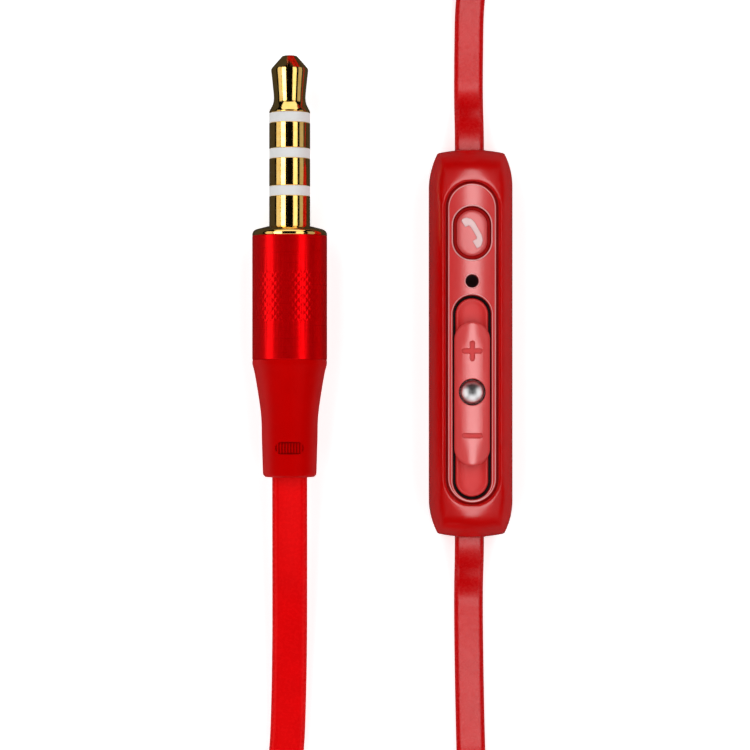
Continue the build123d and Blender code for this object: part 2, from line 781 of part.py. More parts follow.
rear = -bud_depth - bud_wall
inner_radius = bud_radius - bud_wall
boot_stem = 1.4
for side in buds:
    with BuildPart() as rear_shell:
        turned_on_bud(side, [
            (0, bud_radius), (rear + 1.2, bud_radius), (rear + 0.3, bud_radius - 0.4),
            (rear, bud_radius - 1.1), (rear, cap_radius), (cap_floor, cap_radius), (cap_floor, 0),
            (-bud_depth + 0.4, 0), (-bud_depth + 0.4, inner_radius), (0, inner_radius),
        ])
        with BuildSketch(boot_plane(side, inner_radius - 1)):
            Circle(boot_stem)
        extrude(amount=3, mode=Mode.SUBTRACT)
    save(rear_shell, f"{side}_rear_shell")

    with BuildPart() as nozzle_shell:
        turned_on_bud(side, [
            (joint, bud_radius - 0.05), (2.2, bud_radius - 0.5), (3.4, bud_radius - 1.7),
            (4.2, bud_radius - 2.9), (4.8, nozzle_radius), (nozzle_length, nozzle_radius),
            (nozzle_length, nozzle_bore), (4.3, nozzle_bore), (3.2, 3.1), (2.0, 4.3), (joint, frame_radius),
        ])
    save(nozzle_shell, f"{side}_nozzle_shell")

    with BuildPart() as cord_boot:
        centre, facing = buds[side]
        lane_x = centre[0] - facing * bud_boot_back
        with BuildSketch(Plane(origin=(lane_x, centre[1], centre[2]), x_dir=(1, 0, 0), z_dir=(0, 0, -1))):
            with BuildLine():
                Polyline(
                    (0, inner_radius - 0.6), (boot_stem, inner_radius - 0.6), (boot_stem, bud_radius + 0.05),
                    (1.8, bud_radius + 0.05), (1.8, bud_radius + 0.9), (1.45, bud_boot_end),
                    (0, bud_boot_end), close=True,
                )
            make_face()
        revolve(axis=Axis((lane_x, centre[1], centre[2]), (0, 1, 0)))
    save(cord_boot, f"{side}_cord_boot")

    tip_start_s = nozzle_length - 3.6
    tip_end_s = tip_start_s + tip_length
    tip_bore = nozzle_radius + tip_gap
    with BuildPart() as ear_tip:
        turned_on_bud(side, [
            (tip_start_s, tip_bore), (tip_end_s, tip_bore), (tip_end_s, 3.0), (tip_end_s - 0.5, 3.8),
            (tip_end_s - 1.8, 4.75), (tip_end_s - 3.7, 5.4), (tip_start_s + 1.6, tip_radius),
            (tip_start_s + 1.0, tip_radius - 0.15), (tip_start_s + 1.1, tip_radius - 0.5),
            (tip_end_s - 3.9, 4.9), (tip_end_s - 2.1, 4.2), (tip_end_s - 1.1, 3.3), (tip_end_s - 1.3, 3.0),
            (tip_start_s, 3.0),
        ])
    save(ear_tip, f"{side}_ear_tip")


def on_both_buds(name, points):
    """A group of two like pieces, one in each bud."""
    with BuildPart() as pair:
        for side in buds:
            turned_on_bud(side, points)
    save(pair, name)


on_both_buds("trim_rings", [
    (0, frame_radius + 0.05), (0, bud_radius), (joint, bud_radius), (joint, frame_radius + 0.05),
])
on_both_buds("end_caps", [
    (cap_floor, 0), (cap_floor, cap_radius - 0.05), (rear - 0.02, cap_radius - 0.05),
    (rear - 0.1, cap_radius - 0.3), (rear - 0.1, 0),
])
on_both_buds("nozzle_meshes", [
    (nozzle_length - 0.4, 0), (nozzle_length - 0.4, nozzle_bore), (nozzle_length - 0.25, nozzle_bore),
    (nozzle_length - 0.25, 0),
])
on_both_buds("driver_frames", [
    (-1.4, 0), (-1.4, 3.0), (-0.4, frame_radius), (joint, frame_radius), (joint, frame_radius - 0.4),
    (-0.2, frame_radius - 0.4), (-0.9, 2.9), (-0.9, 0),
])
on_both_buds("driver_magnets", [(-0.9, 0), (-0.9, 2.4), (0, 2.4), (0, 0)])
on_both_buds("driver_diaphragms", [
    (0.45, frame_radius - 0.4), (0.6, frame_radius - 0.4), (0.6, 2.4), (0.95, 1.2), (1.05, 0),
    (0.9, 0), (0.8, 1.2), (0.45, 2.4),
])

whole = Compound(children=list(made.values())).bounding_box()
print("pieces", len(made), "from", whole.min, "to", whole.max)
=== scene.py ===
import json
import math

import bmesh
import bpy
import numpy as np
from mathutils import Matrix, Vector


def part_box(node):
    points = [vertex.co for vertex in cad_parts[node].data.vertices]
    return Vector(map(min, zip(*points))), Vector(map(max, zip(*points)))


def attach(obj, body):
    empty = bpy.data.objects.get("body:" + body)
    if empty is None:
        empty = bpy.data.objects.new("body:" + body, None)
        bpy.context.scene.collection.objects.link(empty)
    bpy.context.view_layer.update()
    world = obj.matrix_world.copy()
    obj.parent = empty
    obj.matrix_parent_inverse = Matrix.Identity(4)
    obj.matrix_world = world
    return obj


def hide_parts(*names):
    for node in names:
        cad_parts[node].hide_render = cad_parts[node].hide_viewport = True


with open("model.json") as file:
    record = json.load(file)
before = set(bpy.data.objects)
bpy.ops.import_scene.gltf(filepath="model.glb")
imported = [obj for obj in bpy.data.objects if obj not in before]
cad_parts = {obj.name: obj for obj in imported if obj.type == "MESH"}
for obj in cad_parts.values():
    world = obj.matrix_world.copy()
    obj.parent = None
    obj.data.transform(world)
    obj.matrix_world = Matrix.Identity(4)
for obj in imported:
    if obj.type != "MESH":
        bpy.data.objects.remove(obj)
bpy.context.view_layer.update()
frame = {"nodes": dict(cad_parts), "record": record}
mm = 0.001
scene = bpy.context.scene

# ---- camera ----
# It looks straight down on the plug and the control, which lie side by side on the table,
# through a long lens that keeps their sides upright.
camera = bpy.data.objects.new("camera", bpy.data.cameras.new("camera"))
scene.collection.objects.link(camera)
camera.data.lens = 115
camera.data.sensor_width = 36
camera.data.clip_start = 1 * mm
camera_height = 205 * mm
camera.location = (-8.2 * mm, -2.7 * mm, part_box("plug_barrel")[1].z / 2 + camera_height)
scene.camera = camera
scene.view_settings.view_transform = "Standard"

# ---- cords ----
# Flat cords: a soft satin jacket pressed out round the wires, 3.0 mm wide at the plug and 2.5 mm
# wide in the branches. They lie flat where they leave a fitting, and stand on edge, side by side,
# where the spare length is wound up.
main_width = 3.0 * mm
main_thickness = 1.2 * mm
branch_width = 2.5 * mm
branch_thickness = 1.0 * mm
main_pitch = 1.35 * mm
branch_pitch = 1.15 * mm
section_steps = 8
table_gap = 0.02 * mm
hank_x = -7.5 * mm
hank_arcs = (-105.3 * mm, -59.3 * mm)
arc_lead = 0.15
coil_centre = (-8.9 * mm, 47.0 * mm)
arc_steps = 9
ring_spacing = 0.55 * mm


def wound(centre_x, arcs, radius, pitch, half_turns, start, spin, height, lift=0.0):
    """Points of neat turns in a hank or coil: start is 0 at the right side, 180 at the left,
    spin is 1 anticlockwise, and the last half turn climbs by lift."""
    inward = pitch / 2
    half_step = math.radians(90 / arc_steps)
    straight = arcs[1] - arcs[0]
    points = []
    for half in range(half_turns):
        heading_up = math.sin(math.radians(start + spin * (180 * half + 90))) > 0
        centre_y = arcs[1] if heading_up else arcs[0]
        before = -1 if heading_up else 1
        for step in range(arc_steps + 1):
            along = half + step / arc_steps
            angle = math.radians(start + spin * 180 * along)
            reach = (radius - inward * along) / math.cos(half_step)
            climb = lift * max(0.0, along - half_turns + 1) ** 2
            x = centre_x + reach * math.cos(angle)
            y = centre_y + reach * math.sin(angle)
            if step == 0 and straight:
                points.append((x, y + before * arc_lead * straight, height))
            points.append((x, y, height + climb))
            if step == arc_steps and straight and half < half_turns - 1:
                points.append((x, y + before * arc_lead * straight, height))
    return points


def centre_line(points):
    """The smooth line that a cord takes past its route's points."""
    curve = bpy.data.curves.new("route", "CURVE")
    curve.dimensions = "3D"
    curve.resolution_u = 8
    spline = curve.splines.new("NURBS")
    spline.points.add(len(points) - 1)
    for place, point in zip(spline.points, points):
        place.co = (*point, 1)
    spline.order_u = 3
    spline.use_endpoint_u = True
    holder = bpy.data.objects.new("route", curve)
    line = bpy.data.meshes.new_from_object(holder)
    found = np.array([v.co for v in line.vertices])
    bpy.data.meshes.remove(line)
    bpy.data.objects.remove(holder)
    bpy.data.curves.remove(curve)
    along = np.append(0, np.cumsum(np.linalg.norm(np.diff(found, axis=0), axis=1)))
    at = np.linspace(0, along[-1], int(along[-1] / ring_spacing))
    return np.stack([np.interp(at, along, found[:, k]) for k in range(3)], axis=1), at


def eased(value, low, high):
    """0 below low, 1 above high, and a soft step between."""
    share = np.clip((value - low) / (high - low), 0, 1)
    return share * share * (3 - 2 * share)


def outward(mesh):
    """Turn all of a mesh's faces outwards."""
    shape = bmesh.new()
    shape.from_mesh(mesh)
    bmesh.ops.recalc_face_normals(shape, faces=shape.faces)
    shape.to_mesh(mesh)
    shape.free()


def add_piece(name, vertices, faces, material, slot, body="earphones", crease=32):
    """A new mesh piece with smooth faces and crisp edges, riding on a body."""
    mesh = bpy.data.meshes.new(name)
    mesh.from_pydata([tuple(v) for v in vertices], [], faces)
    outward(mesh)
    mesh.shade_smooth()
    mesh.set_sharp_from_angle(angle=math.radians(crease))
    mesh.materials.append(material)
    piece = bpy.data.objects.new(name, mesh)
    scene.collection.objects.link(piece)
    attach(piece, body)
    return piece


def lofted(rings, capped=True):
    """Vertices and faces through rings of points, each ring with the same number."""
    count = len(rings[0])
    vertices = [point for ring in rings for point in ring]
    faces = []
    for r in range(len(rings) - 1):
        for k in range(count):
            a, b = r * count + k, r * count + (k + 1) % count
            faces.append((a, b, b + count, a + count))
    if capped:
        faces.append(tuple(range(count))[::-1])
        faces.append(tuple(range((len(rings) - 1) * count, len(rings) * count)))
    return vertices, faces


def flat_section(width, thickness):
    """Outline of a flat cord: straight faces with round edges, as (across, up) pairs."""
    flat = (width - thickness) / 2
    outline = []
    for side in (1, -1):
        for step in range(section_steps + 1):
            angle = math.radians(-90 + 180 / section_steps * step)
            outline.append((side * (flat + thickness / 2 * math.cos(angle)),
                            side * thickness / 2 * math.sin(angle)))
    return outline


def flat_cord(name, points, width, thickness, on_edge, off_edge, material, slot):
    """A flat cord along its route. It turns on edge over the distances on_edge from its start,
    and lies flat again over the distances off_edge from its end. Gives the piece and its line."""
    line, along = centre_line(points)
    tangent = np.gradient(line, axis=0)
    tangent /= np.linalg.norm(tangent, axis=1)[:, None]
    side = np.cross(tangent, (0, 0, 1))
    side /= np.linalg.norm(side, axis=1)[:, None]
    up = np.cross(side, tangent)
    turn = math.pi / 2 * eased(along, *on_edge) * eased(along[-1] - along, *off_edge)
    across = np.cos(turn)[:, None] * side + np.sin(turn)[:, None] * up
    over = np.cos(turn)[:, None] * up - np.sin(turn)[:, None] * side
    section = flat_section(width, thickness)
    rings = [[line[k] + u * across[k] + v * over[k] for u, v in section] for k in range(len(line))]
    for ring in rings:
        for point in ring:
            point[2] = max(point[2], table_gap)  # the soft jacket lies down on the table
    vertices, faces = lofted(rings)
    piece = add_piece(name, vertices, faces, material, slot, crease=60)
    uv_length = 20 * mm
    drawn = piece.data.uv_layers.new(name="drawn")
    count = len(section)
    for corner in piece.data.loops:
        ring, place = divmod(corner.vertex_index, count)
        drawn.data[corner.index].uv = (along[ring] / uv_length, place / count)
    return piece, [tuple(point) for point in line]


def finish(name, colour, roughness, settings):
    """A new material, with what is the same all over set on its shader."""
    material = bpy.data.materials.new(name)
    material.use_nodes = True
    shader = material.node_tree.nodes["Principled BSDF"]
    shader.inputs["Base Color"].default_value = (*colour, 1)
    shader.inputs["Roughness"].default_value = roughness
    for socket, value in settings.items():
        shader.inputs[socket].default_value = value
    return material


def pattern(material, kind, stretch, settings, source="Object"):
    """A texture node in the piece's own metres, stretched along the axes."""
    nodes, links = material.node_tree.nodes, material.node_tree.links
    place = nodes.new("ShaderNodeTexCoord")
    scaled = nodes.new("ShaderNodeMapping")
    scaled.inputs["Scale"].default_value = stretch
    texture = nodes.new(kind)
    for socket, value in settings.items():
        texture.inputs[socket].default_value = value
    links.new(place.outputs[source], scaled.inputs["Vector"])
    links.new(scaled.outputs["Vector"], texture.inputs["Vector"])
    return texture


def noise(material, stretch, detail, source="Object"):
    return pattern(material, "ShaderNodeTexNoise", stretch, {"Detail": detail}, source)


def drive(material, socket, texture, low, high, start=0.3, end=0.7):
    """Let a texture move one of the shader's sockets between two colours or two amounts."""
    nodes, links = material.node_tree.nodes, material.node_tree.links
    ramp = nodes.new("ShaderNodeValToRGB")
    for element, place, value in zip(ramp.color_ramp.elements, (start, end), (low, high)):
        element.position = place
        element.color = (*value, 1) if isinstance(value, tuple) else (value, value, value, 1)
    output = "Distance" if "Distance" in texture.outputs else "Fac"
    links.new(texture.outputs[output], ramp.inputs["Fac"])
    links.new(ramp.outputs["Color"], nodes["Principled BSDF"].inputs[socket])


def relief(material, textures, depth, strength):
    """Small bumps of that depth from one or more textures, each on top of the last."""
    nodes, links = material.node_tree.nodes, material.node_tree.links
    before = None
    for texture in textures:
        bump = nodes.new("ShaderNodeBump")
        bump.inputs["Distance"].default_value = depth
        bump.inputs["Strength"].default_value = strength
        output = "Distance" if "Distance" in texture.outputs else "Fac"
        links.new(texture.outputs[output], bump.inputs["Height"])
        if before:
            links.new(before.outputs["Normal"], bump.inputs["Normal"])
        before = bump
    links.new(before.outputs["Normal"], nodes["Principled BSDF"].inputs["Normal"])


def tint(colour, share):
    """The same colour, lighter or darker."""
    return tuple(min(1.0, c * share) for c in colour)


def jacket(name, colour, gloss=(1, 1, 1)):
    """Soft drawn cord jacket: satin, with faint lines along it, fine grain and a little dust."""
    material = finish(name, colour, 0.26, {"Specular IOR Level": 0.5, "Specular Tint": (*gloss, 1)})
    drift = noise(material, (90, 90, 90), 3.0)
    drive(material, "Base Color", drift, tint(colour, 0.95), tint(colour, 1.04))
    wear = noise(material, (700, 700, 700), 4.0)
    drive(material, "Roughness", wear, 0.24, 0.3)
    lines = noise(material, (0.6, 46, 1), 2.0, source="UV")
    fine = noise(material, (9000, 9000, 9000), 1.0)
    relief(material, [lines, fine], 0.002 * mm, 0.5)
    return material


main_jacket = jacket("main_cord_jacket", (0.8, 0.0, 0.001), gloss=(1, 0.06, 0.06))
branch_jacket = jacket("branch_cord_jacket", (0.6, 0.0, 0.001))

# The plug's cord runs down to the table and onto the hank's left outer run.
main_turns = wound(hank_x, hank_arcs, 12.7 * mm, main_pitch, 9, 180, 1, 2.0 * mm)
main_cord, main_line = flat_cord("main_cord_jacket", [
    (-0.0155, -0.0114, 0.0032), (-0.0155, -0.0174, 0.00305), (-0.01555, -0.028, 0.0015),
    (-0.0159, -0.038, 0.00075), (-0.0186, -0.0485, 0.00095), (-0.0201, -0.0585, 0.002),
    (-0.0202, -0.066, 0.002), *main_turns,
    (-0.0012, -0.102, 0.002), (-0.0075, -0.0925, 0.0021), (-0.0075, -0.086, 0.0021),
], main_width, main_thickness, (38 * mm, 50 * mm), (6 * mm, 19 * mm), main_jacket, "main_cord_red")
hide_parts("main_cord", "main_cord_hank", "main_cord_tail")

# From the control's lower end to the table, up onto the hank, once round it and to the splitter.
lower_turns = wound(hank_x, hank_arcs, 7.75 * mm, branch_pitch, 2, 0, -1, 4.8 * mm)
lower_cord, lower_line = flat_cord("lower_branch_jacket", [
    (-0.0001, -0.01655, 0.0026), (-0.0001, -0.0182, 0.00255), (-0.0001, -0.0208, 0.00058),
    (-0.0001, -0.024, 0.00053), (0.0, -0.031, 0.00053), (0.00015, -0.037, 0.00065),
    (0.00025, -0.0468, 0.00515), (0.0002, -0.052, 0.00495), (0.00025, -0.0563, 0.0048),
    *lower_turns,
    (-0.001, -0.0615, 0.0047), (-0.0059, -0.069, 0.0031), (-0.0059, -0.074, 0.0021),
], branch_width, branch_thickness, (33 * mm, 45 * mm), (3 * mm, 14 * mm), branch_jacket,
    "branch_cord_red")
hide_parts("lower_branch_cord", "lower_branch_hank", "lower_branch_tail")

# From the splitter up onto the hank, three times round it and to the left earbud.
left_turns = wound(hank_x, hank_arcs, 6.6 * mm, -branch_pitch, 6, 180, -1, 7.35 * mm)
left_cord, left_line = flat_cord("left_branch_jacket", [
    (-0.0091, -0.074, 0.0021), (-0.0091, -0.0695, 0.0038), (-0.0126, -0.062, 0.00735),
    *left_turns[1:],
    (-0.017, -0.098, 0.0073), (-0.017, -0.0935, 0.00745), (-0.0159, -0.0855, 0.0123),
    (-0.0153, -0.0815, 0.0142), (-0.0152, -0.078, 0.01445),
], branch_width, branch_thickness, (3 * mm, 14 * mm), (4 * mm, 16 * mm), branch_jacket,
    "branch_cord_red")
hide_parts("left_branch_cord", "left_branch_hank", "left_branch_tail")

# From the control's upper end, wound in a coil, over its own turn and to the right earbud.
upper_turns = wound(coil_centre[0], (coil_centre[1],) * 2, 12.2 * mm, branch_pitch, 3, 0, 1,
                    1.3 * mm, lift=1.5 * mm)
upper_cord, upper_line = flat_cord("upper_branch_jacket", [
    (-0.0001, 0.01655, 0.0026), (-0.0001, 0.0182, 0.00255), (-0.0001, 0.0208, 0.00058),
    (-0.0001, 0.024, 0.00053), (0.0, 0.031, 0.00053), (0.0017, 0.038, 0.0009),
    (0.0032, 0.0435, 0.0013),
    *upper_turns,
    (-0.0183, 0.0435, 0.00305), (-0.018, 0.0395, 0.0033), (-0.0154, 0.0351, 0.0036),
    (-0.011, 0.0326, 0.0044), (-0.0059, 0.0326, 0.0057), (-0.0015, 0.0351, 0.007),
    (0.00115, 0.0395, 0.0081), (0.0012, 0.04415, 0.00835),
], branch_width, branch_thickness, (24 * mm, 34 * mm), (25 * mm, 36 * mm), branch_jacket,
    "branch_cord_red")
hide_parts("upper_branch_cord", "upper_branch_coil", "upper_branch_tail")


# ---- control: housing ----
# Two shells moulded in glossy red ABS, pressed together along a parting line at the height of the
# cords. The front one slopes away at both ends and has a soft lip round the panel's recess.
housing_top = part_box("control_front_shell")[1].z
housing_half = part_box("control_front_shell")[1].x
crown_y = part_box("control_front_shell")[1].y
parting_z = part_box("control_front_shell")[0].z
end_half = 2.85 * mm
taper_from = 13.4 * mm
end_crown = 0.3 * mm
housing_wall = 0.8 * mm
deck_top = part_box("face_panel")[0].z
deck_bottom = deck_top - 0.7 * mm
panel_clearance = 0.15 * mm
recess_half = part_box("face_panel")[1].x + panel_clearance
recess_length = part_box("face_panel")[1].y + panel_clearance
side_steps = 24
end_steps = 72


def evenly(points, steps):
    """The same line with its points evenly spaced."""
    line = np.array(points)
    along = np.append(0, np.cumsum(np.linalg.norm(np.diff(line, axis=0), axis=1)))
    at = np.linspace(0, along[-1], steps + 1)
    return [tuple(np.interp(q, along, line[:, k]) for k in (0, 1)) for q in at]


def housing_end():
    """Plan of one end, from the right side over to the left: the side curves in to a soft
    corner, and the end face is slightly crowned."""
    corner_y = crown_y - end_crown
    inward, onward = housing_half - end_half, corner_y - taper_from
    side_radius = (inward**2 + onward**2) / (2 * inward)
    crown_radius = (end_half**2 + end_crown**2) / (2 * end_crown)
    side_sweep, crown_sweep = math.asin(onward / side_radius), math.asin(end_half / crown_radius)
    side_points, crown_points, reach = 12, 8, 0.97
    half = []
    for step in range(side_points + 1):
        angle = side_sweep * reach * step / side_points
        half.append((housing_half - side_radius * (1 - math.cos(angle)),
                     taper_from + side_radius * math.sin(angle)))
    crown = []
    for step in range(crown_points + 1):
        angle = crown_sweep * reach * (1 - step / crown_points)
        crown.append((crown_radius * math.sin(angle), crown_y - crown_radius * (1 - math.cos(angle))))
    before, after = half[-1], crown[0]
    for t in (0.25, 0.5, 0.75):
        half.append(tuple((1 - t) ** 2 * a + 2 * t * (1 - t) * c + t * t * b
                          for a, c, b in zip(before, (end_half, corner_y), after)))
    half += crown
    return evenly(half + [(-x, y) for x, y in half[-2::-1]], end_steps)


def round_end(half_width, half_length):
    """Half a circle over one end of a slot shape."""
    straight = half_length - half_width
    turns = [math.pi * step / end_steps for step in range(end_steps + 1)]
    return [(half_width * math.cos(t), straight + half_width * math.sin(t)) for t in turns]


def outline_ring(half_width, straight, end, z, centre=(0.0, 0.0), shrink=(1.0, 1.0)):
    """Points round an outline with straight sides and two like ends, at one height."""
    sides = [straight * (2 * step / side_steps - 1) for step in range(side_steps + 1)]
    flat = [(half_width, y) for y in sides] + end[1:-1]
    flat += [(-x, -y) for x, y in flat]
    return [(centre[0] + x * shrink[0], centre[1] + y * shrink[1], z) for x, y in flat]


def slot_ring(half_width, half_length, z, centre=(0.0, 0.0)):
    """Points round a slot shape with round ends, at one height."""
    return outline_ring(half_width, half_length - half_width, round_end(half_width, half_length),
                        z, centre)


def housing_ring(z, inset=0.0):
    shrink = (1 - inset / housing_half, 1 - inset / crown_y)
    return outline_ring(housing_half, taper_from, housing_end(), z, shrink=shrink)


def shape_with(piece, tool_shape, operation="DIFFERENCE"):
    """Cut a shape out of a piece, or keep only what lies inside the shape."""
    mesh = bpy.data.meshes.new("tool")
    mesh.from_pydata([tuple(v) for v in tool_shape[0]], [], tool_shape[1])
    outward(mesh)
    tool = bpy.data.objects.new("tool", mesh)
    scene.collection.objects.link(tool)
    change = piece.modifiers.new("shape", "BOOLEAN")
    change.operation = operation
    change.solver = "EXACT"
    change.object = tool
    graph = bpy.context.evaluated_depsgraph_get()
    shaped = bpy.data.meshes.new_from_object(piece.evaluated_get(graph))
    piece.modifiers.clear()
    piece.data = shaped
    bpy.data.objects.remove(tool)
    shaped.shade_smooth()
    shaped.set_sharp_from_angle(angle=math.radians(32))


def moulded(name, colour, roughness, specular, gloss=(1, 1, 1), mottle=0.04):
    """Injection-moulded plastic: even colour with a faint drift, handling marks in the gloss,
    and the fine orange-peel of a polished mould."""
    material = finish(name, colour, roughness, {
        "Specular IOR Level": specular, "Specular Tint": (*gloss, 1)})
    drift = noise(material, (130, 130, 130), 3.0)
    dark, light = tint(colour, 1 - mottle), tint(colour, 1 + mottle)
    drive(material, "Base Color", drift, dark, light)
    marks = noise(material, (420, 420, 420), 4.0)
    drive(material, "Roughness", marks, roughness * 0.94, roughness * 1.08)
    peel = noise(material, (1500, 1500, 1500), 2.0)
    relief(material, [peel], 0.0025 * mm, 0.5)
    return material


housing_red = moulded("housing_gloss_red", (0.58, 0.0, 0.0), 0.24, specular=0.9)
# The two darker finishes are painted shade: the duller dark red for the groove round the panel and the gap
# round the button, the near black for the floor seen through the panel's openings and the gap round the
# slider's ball.
shadow_red = moulded("shadow_red", (0.42, 0.0, 0.0), 0.6, specular=0.1)
painted_shade_black = moulded("painted_shade_black", (0.012, 0.004, 0.004), 0.6, specular=0.15)

inner = [housing_ring(deck_bottom, housing_wall), housing_ring(parting_z, housing_wall)]
seam = 0.05 * mm
outer = [housing_ring(parting_z, seam), housing_ring(parting_z + seam, 0)]
shoulder_z = 3.3 * mm
lip = 0.28 * mm
lip_half, lip_length = recess_half + lip, recess_length + lip
shoulder_steps = 18
side_sweep, end_sweep = 66, 90
slope_from, slope_to = 11.5 * mm, 14.2 * mm
for step in range(shoulder_steps + 1):
    slope = []
    for a, b in zip(housing_ring(0), slot_ring(lip_half, lip_length, 0)):
        steeper = eased(abs(b[1]), slope_from, slope_to)
        sweep = math.radians(side_sweep + (end_sweep - side_sweep) * steeper)
        angle = sweep * step / shoulder_steps
        share = (1 - math.cos(angle)) / (1 - math.cos(sweep))
        rise = (housing_top - shoulder_z) * math.sin(angle) / math.sin(sweep)
        slope.append((a[0] + (b[0] - a[0]) * share, a[1] + (b[1] - a[1]) * share, shoulder_z + rise))
    outer.append(slope)
lip_steps = 7
for step in range(1, lip_steps + 1):
    angle = math.pi / 2 * step / lip_steps
    grow, drop = lip * (1 - math.sin(angle)), lip * (1 - math.cos(angle))
    outer.append(slot_ring(recess_half + grow, recess_length + grow, housing_top - drop))
ledge_z, ledge = deck_top + 0.6 * mm, 0.14 * mm
outer.append(slot_ring(recess_half, recess_length, ledge_z))
outer.append(slot_ring(recess_half - ledge, recess_length - ledge, ledge_z))
outer.append(slot_ring(recess_half - ledge, recess_length - ledge, deck_top))
front_housing = add_piece("front_housing", *lofted(inner + outer), housing_red, "housing_red")
front_housing.data.materials.append(painted_shade_black)
front_housing.data.materials.append(shadow_red)
# The deck's faces under the panel take the near black, and the ledge in the groove round the panel takes
# the duller dark red: painted shade in the recess and the groove.
level = 0.02 * mm
for face in front_housing.data.polygons:
    if abs(face.normal.z) < 0.9 or abs(face.center.x) > recess_half:
        continue
    if abs(face.center.z - deck_top) < level:
        face.material_index = 1
    elif abs(face.center.z - ledge_z) < level:
        face.material_index = 2

button_low, button_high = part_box("call_button")
button_y = (button_low.y + button_high.y) / 2
microphone_y = (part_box("microphone_mesh")[0].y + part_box("microphone_mesh")[1].y) / 2
bed_low, bed_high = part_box("slider_bed")
slot_y = (bed_low.y + bed_high.y) / 2
slider_low, slider_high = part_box("volume_slider")
slider_y = (slider_low.y + slider_high.y) / 2
stem_slot_half, stem_slot_length = 0.65 * mm, 3.7 * mm
stem_slot_y = slider_y - 0.3 * mm
through = (deck_bottom - 0.2 * mm, deck_top + 0.1 * mm)
deck_openings = (
    (1.93 * mm, 2.58 * mm, button_y),
    (0.92 * mm, 0.92 * mm, microphone_y),
    (stem_slot_half, stem_slot_length, stem_slot_y),
)
for half_width, half_length, y in deck_openings:
    shape_with(front_housing, lofted([slot_ring(half_width, half_length, z, (0, y)) for z in through]))


def cord_slot(end_y):
    """A prism of the flat cord's section along Y, a little larger than the cord."""
    clearance, reach = 0.06 * mm, 1.2 * mm
    section = flat_section(branch_width + 2 * clearance, branch_thickness + 2 * clearance)
    return lofted([[(x, y, parting_z + z) for x, z in section] for y in (end_y - reach, end_y + reach)])


rounding = 0.9 * mm
rounding_steps = 8
back = []
for step in range(rounding_steps + 1):
    angle = math.pi / 2 * step / rounding_steps
    back.append(housing_ring(rounding * (1 - math.sin(angle)), rounding * (1 - math.cos(angle))))
back = back[::-1] + [housing_ring(parting_z - seam, 0), housing_ring(parting_z, seam),
                     housing_ring(parting_z, housing_wall), housing_ring(housing_wall, housing_wall)]
back_housing = add_piece("back_housing", *lofted(back), housing_red, "housing_red")
for housing in (front_housing, back_housing):
    for turn in (1, -1):
        shape_with(housing, cord_slot(turn * crown_y))
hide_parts("control_front_shell")
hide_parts("control_back_shell")

# ---- control: face panel ----
# A lighter red moulding let into the front shell and crowned across its width. Its openings for
# the button, the microphone and the slider have fine bevelled rims. Fine raised beads round them
# and round the panel's edge are in a paler red: a painted highlight where the rims catch the light.
panel_low, panel_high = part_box("face_panel")
rim_bevel = 0.13 * mm
panel_crown = 0.17 * mm
panel_red = moulded("panel_satin_red", (0.68, 0.035, 0.035), 0.2, specular=1.0, mottle=0.015)
rim_painted_highlight = moulded("rim_painted_highlight_red", (0.8, 0.34, 0.34), 0.25, specular=1.0, mottle=0.02)


def crowned_slab(low, high, centre_y):
    """A slab made of narrow strips along Y, so that its top can be crowned afterwards."""
    strips = 36
    across = [low.x + (high.x - low.x) * k / strips for k in range(strips + 1)]
    section = [(x, high.z) for x in across] + [(x, low.z) for x in across[::-1]]
    half = (high.y - low.y) / 2
    return lofted([[(x, centre_y + side * half, z) for x, z in section] for side in (-1, 1)])


def crown_over(piece, low, high, drop):
    """Let the top fall away towards both sides."""
    for vertex in piece.data.vertices:
        share = max(0.0, (vertex.co.z - low.z) / (high.z - low.z))
        vertex.co.z -= drop * share * (vertex.co.x / high.x) ** 2
    piece.data.update()


def opening(half_width, half_length, floor, top, flare, centre):
    """A slot-shaped cutter whose mouth widens by flare at the top surface."""
    beyond = 0.3 * mm
    wide = flare + beyond
    return lofted([
        slot_ring(half_width, half_length, floor, centre),
        slot_ring(half_width, half_length, top - flare, centre),
        slot_ring(half_width + wide, half_length + wide, top + beyond, centre),
    ])


face_panel = add_piece("front_panel", *crowned_slab(panel_low, panel_high, 0), panel_red, "panel_red")
half_width, half_length = panel_high.x, panel_high.y
shape_with(face_panel, lofted([
    slot_ring(half_width, half_length, panel_low.z - 0.1 * mm),
    slot_ring(half_width, half_length, panel_high.z - rim_bevel),
    slot_ring(half_width - 2 * rim_bevel, half_length - 2 * rim_bevel, panel_high.z + rim_bevel),
]), "INTERSECT")
panel_openings = (
    (1.6 * mm, 2.25 * mm, button_y, rim_bevel),
    (0.55 * mm, 0.55 * mm, microphone_y, 0.09 * mm),
    (1.63 * mm, 8.65 * mm, slot_y, 0.08 * mm),
)
for half_width, half_length, y, flare in panel_openings:
    shape_with(face_panel, opening(half_width, half_length, panel_low.z - 0.1 * mm, panel_high.z,
                                   flare, (0, y)))
crown_over(face_panel, panel_low, panel_high, panel_crown)
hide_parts("face_panel")


def joined(*shapes):
    """Several shapes as one list of vertices and one of faces."""
    vertices, faces = [], []
    for shape_vertices, shape_faces in shapes:
        faces += [tuple(k + len(vertices) for k in face) for face in shape_faces]
        vertices += shape_vertices
    return vertices, faces


def raised_bead(half_width, half_length, centre_y, thickness):
    """A fine rounded line that follows the crowned panel round a slot shape."""
    rings = []
    steps = 12
    for step in range(steps):
        angle = 2 * math.pi * step / steps
        out, up = thickness * math.cos(angle), thickness * math.sin(angle)
        ring = slot_ring(half_width + out, half_length + out, panel_high.z + up, (0, centre_y))
        rings.append([(x, y, z - panel_crown * (x / panel_high.x) ** 2) for x, y, z in ring])
    return lofted(rings + rings[:1], capped=False)


